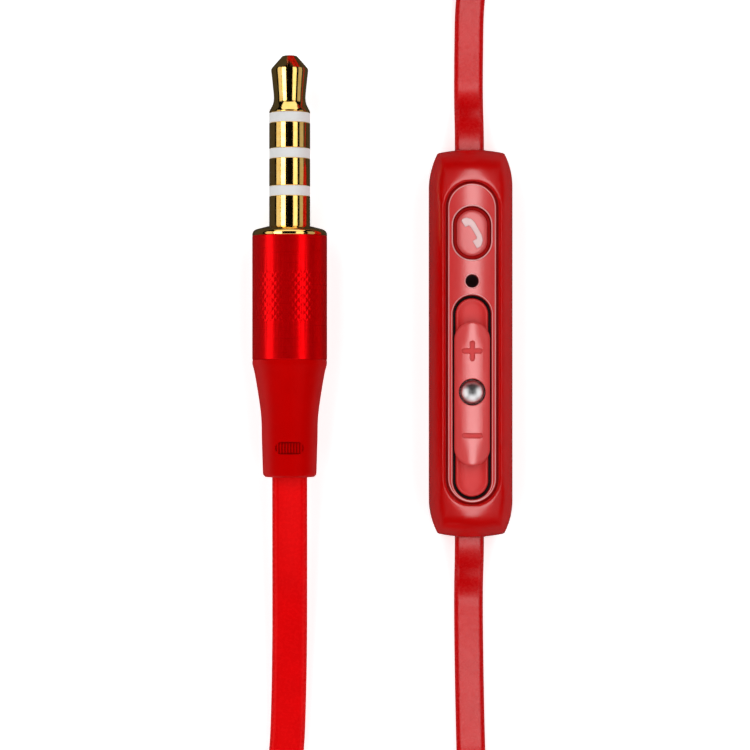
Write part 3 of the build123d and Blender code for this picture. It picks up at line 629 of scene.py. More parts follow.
# The beads' paler red is a painted highlight along the rims.
rim_inset = 0.11 * mm
rims = [
    raised_bead(1.68 * mm, 2.33 * mm, button_y, 0.055 * mm),
    raised_bead(0.61 * mm, 0.61 * mm, microphone_y, 0.04 * mm),
    raised_bead(panel_high.x - rim_inset, panel_high.y - rim_inset, 0, 0.045 * mm),
    raised_bead(1.72 * mm, 8.74 * mm, slot_y, 0.035 * mm),
]
panel_rims = add_piece("panel_rims", *joined(*rims), rim_painted_highlight, "panel_red", crease=60)

# ---- control: call button ----
# A satin red cap moulded in one with the flange that keeps it under the panel, and with a raised
# handset sign in a paler red on top. It rests on the plunger of a tactile switch on the board.
button_red = moulded("button_satin_red", (0.72, 0.1, 0.1), 0.3, specular=0.9, mottle=0.02)
sign_pink = moulded("sign_pale", (0.78, 0.5, 0.5), 0.35, specular=0.8, mottle=0.02)
stud_radius = 0.8 * mm
flange_half, flange_length = 1.78 * mm, 2.43 * mm
skirt_half, skirt_length = 1.54 * mm, 2.19 * mm
cap_half, cap_length = 1.28 * mm, 1.93 * mm
flange_z = (button_high.z - 1.5 * mm, button_high.z - 1.15 * mm)
cap_top = button_high.z - 0.15 * mm
skirt_top = cap_top - 0.34 * mm
edge = 0.3 * mm
edge_steps = 6
sizes = [(stud_radius, stud_radius, button_low.z), (stud_radius, stud_radius, flange_z[0]),
         (flange_half, flange_length, flange_z[0]), (flange_half, flange_length, flange_z[1]),
         (skirt_half, skirt_length, flange_z[1]), (skirt_half, skirt_length, skirt_top),
         (cap_half, cap_length, skirt_top)]
for step in range(edge_steps + 1):
    angle = math.pi / 2 * step / edge_steps
    inset = edge * (1 - math.cos(angle))
    sizes.append((cap_half - inset, cap_length - inset, cap_top - edge * (1 - math.sin(angle))))
for inset, rise in ((0.5, 0.012), (0.8, 0.022), (1.1, 0.027)):
    sizes.append((cap_half - inset * mm, cap_length - inset * mm, cap_top + rise * mm))
cap = [slot_ring(*size, (0, button_y)) for size in sizes]
button = add_piece("button_cap", *lofted(cap), button_red, "button_red", "call_button")
# The flange and the skirt round the cap's foot take the duller, darker red: painted shade in the gap round
# the cap.
button.data.materials.append(shadow_red)
for face in button.data.polygons:
    if face.center.z < skirt_top + 0.03 * mm:
        face.material_index = 1
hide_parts("call_button")

# The handset sign has two square ends joined by a bowed grip, and leans to the left.
sign_scale = 0.94
sign_bevel = 0.045 * mm
handset = [(-0.98, 1.08), (-0.6, 0.5), (-0.3, 0.66), (-0.12, 0.52), (0.38, -0.34), (0.4, -0.52),
           (0.02, -0.74), (0.44, -1.42), (0.8, -1.2), (0.96, -0.7), (0.88, -0.22), (0.24, 0.96),
           (-0.06, 1.26), (-0.5, 1.38), (-0.84, 1.28)]
drawn_sign = bpy.data.curves.new("sign", "CURVE")
drawn_sign.dimensions = "2D"
drawn_sign.fill_mode = "BOTH"
drawn_sign.extrude = 0.04 * mm
drawn_sign.bevel_depth = sign_bevel
drawn_sign.bevel_resolution = 3
drawn_sign.offset = -0.05 * mm
outline = drawn_sign.splines.new("POLY")
softened = []
for before, point, after in zip(handset[-1:] + handset[:-1], handset, handset[1:] + handset[:1]):
    for other, share in ((before, 0.18), (before, 0.06), (after, 0.06), (after, 0.18)):
        softened.append(tuple(a + (b - a) * share for a, b in zip(point, other)))
outline.points.add(len(softened) - 1)
for place, (x, y) in zip(outline.points, softened):
    place.co = (sign_scale * x * mm, button_y + sign_scale * y * mm, 0, 1)
outline.use_cyclic_u = True
sign_holder = bpy.data.objects.new("sign", drawn_sign)
sign_mesh = bpy.data.meshes.new_from_object(sign_holder)
bpy.data.objects.remove(sign_holder)
sign_points = [(v.co.x, v.co.y, v.co.z + cap_top + sign_bevel) for v in sign_mesh.vertices]
sign = add_piece("button_sign", sign_points, [tuple(p.vertices) for p in sign_mesh.polygons],
                 sign_pink, "button_red", "call_button")

# ---- control: volume slider ----
# A crowned slider with a plus and a minus cut into it and a polished steel ball pressed into a
# seat. It runs in a dished bed, whose rim shows at both ends of the panel's long opening.
bed_red = moulded("bed_gloss_red", (0.66, 0.025, 0.025), 0.4, specular=0.4, mottle=0.02)
slider_red = moulded("slider_satin_red", (0.74, 0.06, 0.06), 0.2, specular=1.0, mottle=0.015)
bed_half, bed_length = bed_high.x, (bed_high.y - bed_low.y) / 2
bed = [slot_ring(bed_half, bed_length, bed_low.z + 0.005 * mm, (0, slot_y))]
bed_dish = ((0.0, 0.12), (0.02, 0.05), (0.08, 0.01), (0.15, 0.0), (0.24, 0.02), (0.36, 0.07),
            (0.52, 0.115), (0.75, 0.145), (1.0, 0.16))
for inset, drop in bed_dish:
    bed.append(slot_ring(bed_half - inset * mm, bed_length - inset * mm, bed_high.z - drop * mm,
                         (0, slot_y)))
slider_tray = add_piece("slider_tray", *lofted(bed), bed_red, "bed_red")
shape_with(slider_tray, lofted([slot_ring(stem_slot_half, stem_slot_length, z, (0, stem_slot_y))
                                for z in (bed_low.z - 0.1 * mm, bed_high.z + 0.1 * mm)]))
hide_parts("slider_bed")

slider_foot = 0.8 * mm
slider_crown = 0.1 * mm
slider_edge = ((0.0, 0.2), (0.03, 0.11), (0.09, 0.05), (0.17, 0.015), (0.3, -0.03))
stem_half, stem_length = 0.45 * mm, 1.0 * mm
ball_hole_radius = 1.125 * mm
slab_low = Vector((slider_low.x, slider_low.y, slider_high.z - slider_foot))
slider = add_piece("slider_cap", *crowned_slab(slab_low, slider_high, slider_y), slider_red,
                   "slider_red", "volume_slider")
half_width, half_length = slider_high.x, (slider_high.y - slider_low.y) / 2
slider_outline = [slot_ring(half_width, half_length, slab_low.z - 0.1 * mm, (0, slider_y))]
for inset, drop in slider_edge:
    slider_outline.append(slot_ring(half_width - inset * mm, half_length - inset * mm,
                                    slider_high.z - drop * mm, (0, slider_y)))
shape_with(slider, lofted(slider_outline), "INTERSECT")
ball_y = (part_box("slider_ball")[0].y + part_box("slider_ball")[1].y) / 2
ball_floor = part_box("slider_ball")[0].z
cut_bevel = 0.05 * mm
shape_with(slider, opening(ball_hole_radius, ball_hole_radius, ball_floor, slider_high.z, cut_bevel,
                           (0, ball_y)))
mark_half, mark_line, mark_floor = 0.84 * mm, 0.19 * mm, slider_high.z - 0.17 * mm
mark_reach = 1.1 * mm
plus_y, minus_y = -0.67 * mm, -7.82 * mm


def sideways(shape, centre_y):
    """A shape along Y turned to lie along X about its own middle."""
    vertices, faces = shape
    return [(centre_y - y, centre_y + x, z) for x, y, z in vertices], [f[::-1] for f in faces]


upright, for_minus = [opening(mark_line, mark_half, mark_floor, slider_high.z, cut_bevel, (0, y))
                      for y in (plus_y, minus_y)]
shape_with(slider, upright)
shape_with(slider, sideways(upright, plus_y))
shape_with(slider, sideways(for_minus, minus_y))
slider.data.materials.append(bed_red)
for face in slider.data.polygons:
    beside = min(abs(face.center.y - plus_y), abs(face.center.y - minus_y))
    in_mark = beside < mark_reach and abs(face.center.x) < mark_reach
    if in_mark and face.center.z < slider_high.z - 0.04 * mm:
        face.material_index = 1
crown_over(slider, slab_low, slider_high, slider_crown)
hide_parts("volume_slider")
stem = lofted([slot_ring(stem_half, stem_length, z, (0, slider_y)) for z in (slider_low.z, slab_low.z)])
add_piece("slider_stem", *stem, slider_red, "slider_red", "volume_slider")

chrome = finish("polished_ball_steel", (0.86, 0.86, 0.87), 0.42, {"Metallic": 1.0})
haze = noise(chrome, (2500, 2500, 2500), 4.0)
drive(chrome, "Roughness", haze, 0.4, 0.45)


def dress(node, material):
    """Give a CAD piece its finish."""
    frame["nodes"][node].data.materials.clear()
    frame["nodes"][node].data.materials.append(material)


dress("slider_ball", chrome)
# A thin near-black ring at the foot of the ball's hole, in the gap round the ball: painted shade.
shade_ring_profile = ((1.04, 0.02), (1.04, 0.12), (1.12, 0.12), (1.12, 0.02), (1.04, 0.02))
seat = lofted([slot_ring(radius * mm, radius * mm, ball_floor + rise * mm, (0, ball_y))
               for radius, rise in shade_ring_profile], capped=False)
add_piece("ball_gap_painted_shade", *seat, painted_shade_black, "black_plastic", "volume_slider", crease=40)

# ---- control: inside ----
# A small green board on four posts, with a tactile switch, a capsule microphone in a rubber
# gasket, and the slide track; the cords' wires are soldered to its ends.


def cells(material, stretch, randomness):
    return pattern(material, "ShaderNodeTexVoronoi", stretch, {"Randomness": randomness})


solder_mask = finish("solder_mask", (0.01, 0.12, 0.04), 0.35, {"Coat Weight": 0.3})
tracks = cells(solder_mask, (900, 300, 900), 0.4)
drive(solder_mask, "Base Color", tracks, (0.02, 0.2, 0.07), (0.008, 0.1, 0.035))
relief(solder_mask, [tracks], 0.02 * mm, 0.5)
stamped_steel = finish("stamped_steel", (0.55, 0.55, 0.56), 0.3, {"Metallic": 1.0})
rolled = noise(stamped_steel, (400, 6000, 400), 3.0)
drive(stamped_steel, "Roughness", rolled, 0.22, 0.4)
relief(stamped_steel, [rolled], 0.002 * mm, 0.4)
tinned_copper = finish("tinned_copper", (0.75, 0.42, 0.24), 0.3, {"Metallic": 1.0})
tinning = noise(tinned_copper, (1200, 1200, 1200), 3.0)
drive(tinned_copper, "Base Color", tinning, (0.7, 0.36, 0.2), (0.8, 0.68, 0.58))
black_plastic = moulded("black_plastic", (0.014, 0.014, 0.015), 0.45, specular=0.4)
grey_rubber = moulded("grey_rubber", (0.04, 0.04, 0.042), 0.7, specular=0.3)
inside_finishes = {
    "circuit_board": solder_mask, "switch_body": stamped_steel, "switch_plunger": black_plastic,
    "microphone": stamped_steel, "microphone_gasket": grey_rubber, "microphone_mesh": black_plastic,
    "slide_track": black_plastic, "slide_wiper": black_plastic, "lead_wires": tinned_copper,
}
for node, material in inside_finishes.items():
    dress(node, material)
dress("upper_cord_anchor", branch_jacket)
dress("lower_cord_anchor", branch_jacket)

# ---- plug: contacts ----
# Four turned brass contacts, gold plated and polished, with white insulator rings pressed
# between them, and a bevelled gold collar against the barrel.
plug_mount = next(m for m in frame["record"]["mounts"] if m["name"] == "headphone_plug")
plug_x, _, plug_z = plug_mount["pos_m"]
contact_radius = plug_mount["dims"]["r_mm"] * mm
ring_gap = 0.85 * mm
edge_break = 0.04 * mm
columns = 112
least_radius = 0.002 * mm


def turned(centre, axis, profile, looped=False, count=columns):
    """Vertices and faces of a piece turned about an axis, from (radius, distance along) pairs."""
    along = Vector(axis)
    out = Vector((0, 0, 1))
    side = along.cross(out)
    rings = []
    for radius, distance in profile:
        middle = Vector(centre) + along * distance
        rings.append([middle + (out * math.cos(turn) + side * math.sin(turn)) * max(radius, least_radius)
                      for turn in (2 * math.pi * k / count for k in range(count))])
    vertices, faces = lofted(rings, capped=not looped)
    if looped:
        last = (len(rings) - 1) * count
        for k in range(count):
            after = (k + 1) % count
            faces.append((last + k, last + after, after, k))
    return vertices, faces


def on_plug(profile):
    return turned((plug_x, 0, plug_z), (0, 1, 0), profile)


def contact_band(low, high, radius=contact_radius):
    """A short turned band with its edges just broken."""
    return on_plug([(0, low), (radius - edge_break, low), (radius, low + edge_break),
                    (radius, high - edge_break), (radius - edge_break, high), (0, high)])


gold = finish("gold_plating", (1.0, 0.62, 0.17), 0.1, {"Metallic": 1.0})
turning = noise(gold, (60, 9000, 60), 2.0)
drift = noise(gold, (400, 400, 400), 3.0)
drive(gold, "Base Color", drift, (0.96, 0.57, 0.14), (1.0, 0.68, 0.22))
drive(gold, "Roughness", turning, 0.08, 0.12)
relief(gold, [turning], 0.0012 * mm, 0.5)
insulator_white = moulded("insulator_white", (0.86, 0.86, 0.86), 0.4, specular=0.5, mottle=0.02)

collar_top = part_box("plug_collar")[1].y
sleeve_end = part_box("plug_sleeve_contact")[1].y
band_2_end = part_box("plug_ring_contact_2")[1].y
band_1_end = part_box("plug_ring_contact_1")[1].y
tip_start = band_1_end + ring_gap
tip_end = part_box("plug_tip_contact")[1].y
tip_profile = [(0, 0), (1.7, 0), (1.75, 0.05), (1.73, 0.18), (1.66, 0.32), (1.56, 0.5), (1.45, 0.72),
               (1.38, 0.98), (1.35, 1.28), (1.37, 1.65), (1.42, 2.15), (1.5, 2.9), (1.57, 3.5),
               (1.585, 3.68), (1.55, 3.82), (1.3, 4.12), (0.72, 4.78), (0.62, 4.88), (0.5, 4.91),
               (0, 4.91)]
tip_scale = (tip_end - tip_start) / (tip_profile[-1][1] * mm)
contacts = {
    "plug_tip_contact": on_plug([(r * mm, tip_start + y * mm * tip_scale) for r, y in tip_profile]),
    "plug_ring_contact_1": contact_band(band_2_end + ring_gap, band_1_end),
    "plug_ring_contact_2": contact_band(sleeve_end + ring_gap, band_2_end),
    "plug_sleeve_contact": contact_band(collar_top - 0.3 * mm, sleeve_end),
}
plug_parts = []
for node, shape in contacts.items():
    contact = add_piece(node.replace("plug_", "gilt_"), *shape, gold, "contact_gold", crease=25)
    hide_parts(node)
    plug_parts.append(contact)
ring_radius = contact_radius - 0.015 * mm
hairline = 0.001 * mm
rings = [contact_band(low + hairline, low + ring_gap - hairline, ring_radius)
         for low in (sleeve_end, band_2_end, band_1_end)]
insulators = add_piece("insulator_rings", *joined(*rings), insulator_white, "insulator_white")
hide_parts("plug_insulators")
plug_parts.append(insulators)

barrel_low, barrel_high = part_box("plug_barrel")
barrel_radius = barrel_high.x - plug_x
collar_bore = 1.3 * mm
collar_edge = ((0.02, 0.0), (0.0, 0.03), (0.01, 0.2), (0.07, 0.34), (0.18, 0.46), (0.36, 0.55))
collar = add_piece("bevelled_collar", *on_plug([
    (collar_bore, barrel_high.y),
    *[(barrel_radius - inset * mm, barrel_high.y + rise * mm) for inset, rise in collar_edge],
    (2.0 * mm, collar_top - 0.03 * mm), (1.85 * mm, collar_top), (collar_bore, collar_top),
]), gold, "contact_gold", crease=40)
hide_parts("plug_collar")
plug_parts.append(collar)

# ---- plug: barrel ----
# Turned aluminium sleeve, satin anodised red, with a shallow diamond knurl rolled round its
# middle; it is pressed over the moulding that holds the contacts.
anodised = finish("satin_red_anodising", (0.72, 0.0, 0.001), 0.3, {
    "Metallic": 0.5, "Specular Tint": (1, 0.04, 0.04, 1)})
turned_lines = noise(anodised, (30, 5000, 30), 3.0)
bead = noise(anodised, (5000, 5000, 5000), 1.0)
dye = noise(anodised, (500, 500, 500), 3.0)
drive(anodised, "Base Color", dye, (0.7, 0.0, 0.001), (0.76, 0.001, 0.003))
drive(anodised, "Roughness", turned_lines, 0.27, 0.36)
relief(anodised, [turned_lines, bead], 0.002 * mm, 0.5)
knurl_low, knurl_high = 1.87 * mm, 6.07 * mm
diamonds_round = 40
knurl_rows = 6
knurl_depth = 0.026 * mm
groove_width = 0.22
steps_per_diamond = 8
barrel_columns = diamonds_round * steps_per_diamond
barrel_bore = barrel_radius - 0.6 * mm
chamfer = 0.05 * mm
profile = [(barrel_bore, barrel_low.y), (barrel_radius - chamfer, barrel_low.y),
           (barrel_radius, barrel_low.y + chamfer), (barrel_radius, barrel_low.y + 0.09 * mm),
           (barrel_radius, knurl_low - 0.03 * mm)]
knurl_steps = knurl_rows * steps_per_diamond
profile += [(barrel_radius, knurl_low + (knurl_high - knurl_low) * k / knurl_steps)
            for k in range(knurl_steps + 1)]
profile += [(barrel_radius, knurl_high + 0.03 * mm), (barrel_radius, barrel_high.y - 0.09 * mm),
            (barrel_radius, barrel_high.y - chamfer), (barrel_radius - chamfer, barrel_high.y),
            (barrel_bore, barrel_high.y)]
vertices, faces = turned((plug_x, 0, plug_z), (0, 1, 0), profile, looped=True, count=barrel_columns)
for k, vertex in enumerate(vertices):
    ring, column = divmod(k, barrel_columns)
    row = (vertex.y - knurl_low) / (knurl_high - knurl_low) * knurl_rows
    if profile[ring][0] == barrel_radius and -0.001 <= row <= knurl_rows + 0.001:
        across = column / steps_per_diamond
        lines = [abs((value + 0.5) % 1 - 0.5) for value in (across + row, across - row)]
        groove = knurl_depth * max(0.0, 1 - min(lines) / groove_width)
        out = Vector((vertex.x - plug_x, 0, vertex.z - plug_z)).normalized()
        vertices[k] = vertex - out * groove
barrel = add_piece("knurled_barrel", vertices, faces, anodised, "anodised_red", crease=50)
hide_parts("plug_barrel")
plug_parts.append(barrel)

# ---- plug: boot ----
# A soft moulded boot over the barrel's end, drawn in to the cord, with a small thumb recess
# that has fine ribs across its floor.
boot_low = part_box("plug_boot")[0]
boot_red = moulded("boot_soft_red", (0.58, 0.0, 0.0), 0.4, specular=0.4, gloss=(1, 0.05, 0.05),
                   mottle=0.03)
boot_length = barrel_low.y - boot_low.y
boot_points = [(0.0, 3.17), (0.03, 3.2), (0.05, 3.16), (0.1, 3.02), (0.2, 2.84), (0.3, 2.68),
               (0.4, 2.53), (0.48, 2.44), (0.56, 2.4), (0.68, 2.385), (0.8, 2.345), (0.92, 2.31),
               (0.975, 2.29), (0.995, 2.22), (1.0, 2.1)]
boot_shares = np.linspace(0, 1, 61)
boot_radii = np.interp(boot_shares, [p[0] for p in boot_points], [p[1] for p in boot_points])
between_ends = slice(4, 56)
softening = [0.1, 0.2, 0.4, 0.2, 0.1]
boot_radii[between_ends] = np.convolve(boot_radii, softening, "same")[between_ends]
boot_side = [(r * mm, barrel_low.y - share * boot_length) for share, r in zip(boot_shares, boot_radii)]
boot_profile = [(0, barrel_low.y), *boot_side, (0, boot_low.y)]
boot = add_piece("tapered_boot", *on_plug(boot_profile), boot_red, "boot_red")
thumb_x, thumb_y = plug_x + 0.05 * mm, barrel_low.y - 7.5 * mm
thumb_floor = plug_z + 1.9 * mm
thumb_half, thumb_length, thumb_bevel = 0.52 * mm, 1.2 * mm, 0.06 * mm
thumb_vertices, thumb_faces = opening(thumb_half, thumb_length, thumb_floor, plug_z + 2.36 * mm,
                                      thumb_bevel, (0, 0))
shape_with(boot, ([(thumb_x - y, thumb_y + x, z) for x, y, z in thumb_vertices], thumb_faces))
rib_half, rib_length, rib_pitch = 0.075 * mm, 0.44 * mm, 0.25 * mm
rib_z = (thumb_floor - 0.02 * mm, thumb_floor + 0.24 * mm)
ribs = [lofted([slot_ring(rib_half, rib_length, z, (thumb_x + rib_pitch * k, thumb_y)) for z in rib_z])
        for k in range(-4, 5)]
grip_ribs = add_piece("boot_ribs", *joined(*ribs), boot_red, "boot_red")
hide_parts("plug_boot")
plug_parts += [boot, grip_ribs]
dress("plug_inner_mould", black_plastic)
dress("plug_wires", tinned_copper)
plug_parts += [frame["nodes"]["plug_inner_mould"], frame["nodes"]["plug_wires"]]

# ---- splitter ----
# Two small glossy red ABS shells, snapped together over a moulded bead, where the plug's cord
# divides into the two branches.
for node in ("splitter_front", "splitter_back"):
    dress(node, housing_red)
dress("splitter_bead", branch_jacket)

# ---- cord tie ----
# A woven nylon hook-and-loop strap that holds the spare cord in its hank. It goes once round, and
# its loose end lies pressed down on its own loops.
tie_low, tie_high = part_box("cord_tie")
strap = finish("woven_tie", (0.016, 0.016, 0.018), 0.85, {
    "Sheen Weight": 0.25, "Specular IOR Level": 0.2})
weave = cells(strap, (2600, 1700, 2600), 0.35)
fuzz = noise(strap, (5200, 5200, 5200), 3.0)
drive(strap, "Base Color", weave, (0.03, 0.03, 0.033), (0.009, 0.009, 0.01))
relief(strap, [weave, fuzz], 0.06 * mm, 0.8)
strap_thickness = 0.4 * mm
tie_middle = (tie_low.x + tie_high.x) / 2
low_half = (tie_high.x - tie_low.x) / 2 - strap_thickness - 0.05 * mm
high_half = 11.05 * mm
step_z = 3.5 * mm
strap_bottom = tie_low.z + strap_thickness + 0.02 * mm
strap_top = tie_high.z - 2 * strap_thickness - 0.05 * mm
corners = [(-low_half, strap_bottom), (low_half, strap_bottom), (low_half, step_z),
           (high_half, strap_top), (-high_half, strap_top), (-low_half, step_z)]


def softened_loop(points):
    """A closed outline with its corners rounded off."""
    corner_cut = 0.6 * mm
    for _ in range(3):
        cut = []
        for a, b in zip(points, points[1:] + points[:1]):
            near = min(0.25, corner_cut / math.dist(a, b))
            cut.append(tuple(p + (q - p) * near for p, q in zip(a, b)))
            cut.append(tuple(q + (p - q) * near for p, q in zip(a, b)))
        points = cut
    return points


def strap_band(loop, low, high, closed=True):
    """A strap round a loop of (x, z) points, with soft edges."""
    soft = 0.12 * mm
    section = [(low, 0.25), (low + soft, 0), (high - soft, 0), (high, 0.25), (high, 0.75),
               (high - soft, 1), (low + soft, 1), (low, 0.75)]
    if closed:
        neighbours = zip(loop[-1:] + loop[:-1], loop[1:] + loop[:1])
    else:
        neighbours = zip(loop[:1] + loop[:-1], loop[1:] + loop[-1:])
    rings = []
    for (x, z), (before, after) in zip(loop, neighbours):
        out = Vector((after[1] - before[1], before[0] - after[0])).normalized()
        rings.append([(tie_middle + x + out.x * share * strap_thickness, y,
                       z + out.y * share * strap_thickness) for y, share in section])
    if closed:
        rings.append(rings[0])
    return lofted(rings, capped=not closed)


tie_loop = softened_loop(corners)
tie_band = add_piece("tie_band", *strap_band(tie_loop, tie_low.y, tie_high.y), strap, "tie_black",
                     crease=60)
flap_inset = 0.3 * mm
flap_z = strap_top + strap_thickness + 0.01 * mm
flap_line = [(x * mm, flap_z) for x in np.linspace(7.5, -6.5, 15)]
flap = strap_band(flap_line, tie_low.y + flap_inset, tie_high.y - flap_inset, closed=False)
tie_flap = add_piece("tie_flap", *flap, strap, "tie_black", crease=60)
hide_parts("cord_tie")

# ---- earbuds ----
# In-ear buds: a rear shell with a dark end cap, a satin metal trim ring, a front shell drawn
# into a nozzle with a fine mesh, a soft cord boot and a pushed-on silicone tip.
trim_metal = finish("satin_trim", (0.74, 0.74, 0.76), 0.3, {"Metallic": 1.0})
spun = noise(trim_metal, (5000, 60, 60), 2.0)
drive(trim_metal, "Roughness", spun, 0.22, 0.36)
relief(trim_metal, [spun], 0.002 * mm, 0.5)
cap_black = moulded("cap_gloss_black", (0.008, 0.008, 0.009), 0.15, specular=0.5)
silicone = finish("tip_silicone", (0.03, 0.03, 0.032), 0.5, {
    "Subsurface Weight": 0.1, "Subsurface Scale": 0.5 * mm, "Sheen Weight": 0.15})
powder = noise(silicone, (350, 350, 350), 4.0)
drive(silicone, "Roughness", powder, 0.42, 0.58)
relief(silicone, [powder], 0.004 * mm, 0.4)
mesh_steel = finish("woven_mesh", (0.5, 0.5, 0.51), 0.35, {"Metallic": 1.0})
wires = cells(mesh_steel, (4500, 4500, 4500), 0.1)
drive(mesh_steel, "Base Color", wires, (0.02, 0.02, 0.02), (0.6, 0.6, 0.62), 0.25, 0.45)
relief(mesh_steel, [wires], 0.04 * mm, 0.8)
film = finish("diaphragm_film", (0.7, 0.62, 0.42), 0.25, {"Specular IOR Level": 0.6})
ripple = noise(film, (600, 600, 600), 2.0)
drive(film, "Base Color", ripple, (0.66, 0.58, 0.38), (0.74, 0.66, 0.47))


def soft_profile(points):
    """A turned outline with its corners rounded, its ends kept."""
    near, far = 0.78, 0.22
    for _ in range(3):
        cut = [points[0]]
        for a, b in zip(points, points[1:]):
            cut.append(tuple(near * p + far * q for p, q in zip(a, b)))
            cut.append(tuple(far * p + near * q for p, q in zip(a, b)))
        points = cut + [points[-1]]
    return points


def bud_piece(name, centre, axis, profile, material, slot, body="earphones", looped=False,
              count=columns, crease=40):
    """A turned piece of an earbud, from (radius, distance) pairs in millimetres."""
    shape = turned(centre, axis, [(r * mm, s * mm) for r, s in profile], looped, count)
    return add_piece(name, *shape, material, slot, body, crease=crease)


rear_profile = [(0, -3.6), (4.25, -3.6), (4.3, -4.7)] + soft_profile([
    (4.32, -4.76), (4.7, -4.8), (5.3, -4.62), (5.68, -4.0), (5.75, -2.8), (5.75, -0.5),
]) + [(5.75, -0.06), (5.7, 0.0), (0, 0.0)]
front_profile = [(4.6, 0.8), (5.66, 0.8), (5.7, 0.86)] + soft_profile([
    (5.68, 1.1), (5.45, 2.2), (4.4, 3.1), (3.1, 3.9), (2.35, 4.7), (2.3, 5.6), (2.3, 6.2),
]) + [(2.3, 8.5), (2.24, 8.6), (1.6, 8.6), (1.6, 4.3), (3.1, 3.2), (4.3, 2.0)]
boot_grooves = []
for k in range(5):
    boot_grooves += [(1.68 - 0.03 * k, 7.6 + 0.8 * k), (1.5 - 0.02 * k, 7.75 + 0.8 * k),
                     (1.5 - 0.02 * k, 8.05 + 0.8 * k), (1.66 - 0.03 * k, 8.2 + 0.8 * k)]
bud_boot_profile = [(0, 5.3), (1.5, 5.5), (1.8, 5.72)] + soft_profile([
    (1.83, 5.8), (1.82, 6.5), (1.7, 7.2),
]) + boot_grooves + [(1.5, 12.4), (1.42, 12.75), (0, 12.75)]
ear_tip_profile = soft_profile([
    (2.35, 5.0), (2.35, 7.0), (2.35, 13.0), (2.6, 13.2), (3.3, 13.1), (4.2, 12.3), (4.95, 10.9),
    (5.45, 9.0), (5.6, 7.4), (5.58, 6.3), (5.35, 5.95), (5.05, 6.2), (4.95, 7.6), (4.75, 9.2),
    (4.1, 11.2), (3.2, 12.0), (2.98, 11.4), (2.95, 7.0), (2.95, 5.0),
])
boot_back = 2.2 * mm

for side, facing in (("left", 1), ("right", -1)):
    shell_low, shell_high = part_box(f"{side}_rear_shell")
    centre = (shell_high.x if facing > 0 else shell_low.x, (shell_low.y + shell_high.y) / 2,
              (shell_low.z + shell_high.z) / 2)
    axis = (facing, 0, 0)
    rear_shell = bud_piece(f"{side}_rear_housing", centre, axis, rear_profile, housing_red, "bud_red")
    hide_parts(f"{side}_rear_shell")
    front_shell = bud_piece(f"{side}_front_housing", centre, axis, front_profile, housing_red,
                            "bud_red", looped=True)
    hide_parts(f"{side}_nozzle_shell")
    boot_centre = (centre[0] - facing * boot_back, centre[1], centre[2])
    cord_boot = bud_piece(f"{side}_ribbed_boot", boot_centre, (0, -1, 0), bud_boot_profile, boot_red,
                          "boot_red", count=64)
    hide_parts(f"{side}_cord_boot")
    ear_tip = bud_piece(f"{side}_silicone_tip", centre, axis, ear_tip_profile, silicone,
                        "tip_silicone", f"{side}_tip", looped=True, crease=50)
    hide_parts(f"{side}_ear_tip")

bud_finishes = {
    "trim_rings": trim_metal, "end_caps": cap_black, "nozzle_meshes": mesh_steel,
    "driver_frames": black_plastic, "driver_magnets": stamped_steel, "driver_diaphragms": film,
}
for node, material in bud_finishes.items():
    dress(node, material)

# ---- floor and lights ----
# A white paper table that glows a little, and soft boxes. Four big ones fill everything evenly. The
# others are only reflected, each by its own pieces: long ones along the plug, narrow ones over the
# control and its cords, wide ones round the rest.
floor = bpy.data.objects.new("floor", bpy.data.meshes.new("floor"))
floor_corners = ((-3, -3), (3, -3), (3, 3), (-3, 3))
floor.data.from_pydata([(x, y, -table_gap) for x, y in floor_corners], [], [(0, 1, 2, 3)])
scene.collection.objects.link(floor)
paper = bpy.data.materials.new("white_paper")
paper.use_nodes = True
nodes, links = paper.node_tree.nodes, paper.node_tree.links
bright = nodes["Principled BSDF"]
bright.inputs["Base Color"].default_value = (0.92, 0.92, 0.92, 1)
bright.inputs["Roughness"].default_value = 1.0
bright.inputs["Specular IOR Level"].default_value = 0.0
bright.inputs["Emission Color"].default_value = (1, 1, 1, 1)
bright.inputs["Emission Strength"].default_value = 0.55
# To glossy rays the table is a dim grey, so the pieces show a painted dark reflection of it.
dim = nodes.new("ShaderNodeBsdfDiffuse")
dim.inputs["Color"].default_value = (0.07, 0.07, 0.07, 1)
rays = nodes.new("ShaderNodeLightPath")
mixed = nodes.new("ShaderNodeMixShader")
links.new(rays.outputs["Is Glossy Ray"], mixed.inputs["Fac"])
links.new(bright.outputs["BSDF"], mixed.inputs[1])
links.new(dim.outputs["BSDF"], mixed.inputs[2])
links.new(mixed.outputs["Shader"], nodes["Material Output"].inputs["Surface"])
floor.data.materials.append(paper)
paper.cycles.emission_sampling = "NONE"

world = bpy.data.worlds.new("studio")
world.use_nodes = True
world.node_tree.nodes["Background"].inputs["Color"].default_value = (0, 0, 0, 1)
world.node_tree.nodes["Background"].inputs["Strength"].default_value = 0
scene.world = world


def lit_only(name, pieces):
    """A group of the only pieces that a light shines on."""
    group = bpy.data.collections.new(name)
    for piece in pieces:
        group.objects.link(piece)
    return group


def soft_box(name, place, target, width, length, radiance, use, group=None):
    """A soft rectangular light of even brightness, facing a point, with its length along Y.
    Its use is to fill, or to be reflected."""
    light = bpy.data.lights.new(name, "AREA")
    light.shape = "RECTANGLE"
    light.size = width
    light.size_y = length
    light.energy = radiance * math.pi * width * length
    holder = bpy.data.objects.new(name, light)
    holder.location = place
    back = (Vector(place) - Vector(target)).normalized()
    across = Vector((0, 1, 0)).cross(back).normalized()
    holder.rotation_euler = Matrix((across, back.cross(across), back)).transposed().to_euler()
    holder.visible_camera = False
    holder.visible_diffuse = use == "fill"
    holder.visible_glossy = use == "reflected"
    if group:
        holder.light_linking.receiver_collection = group
    scene.collection.objects.link(holder)


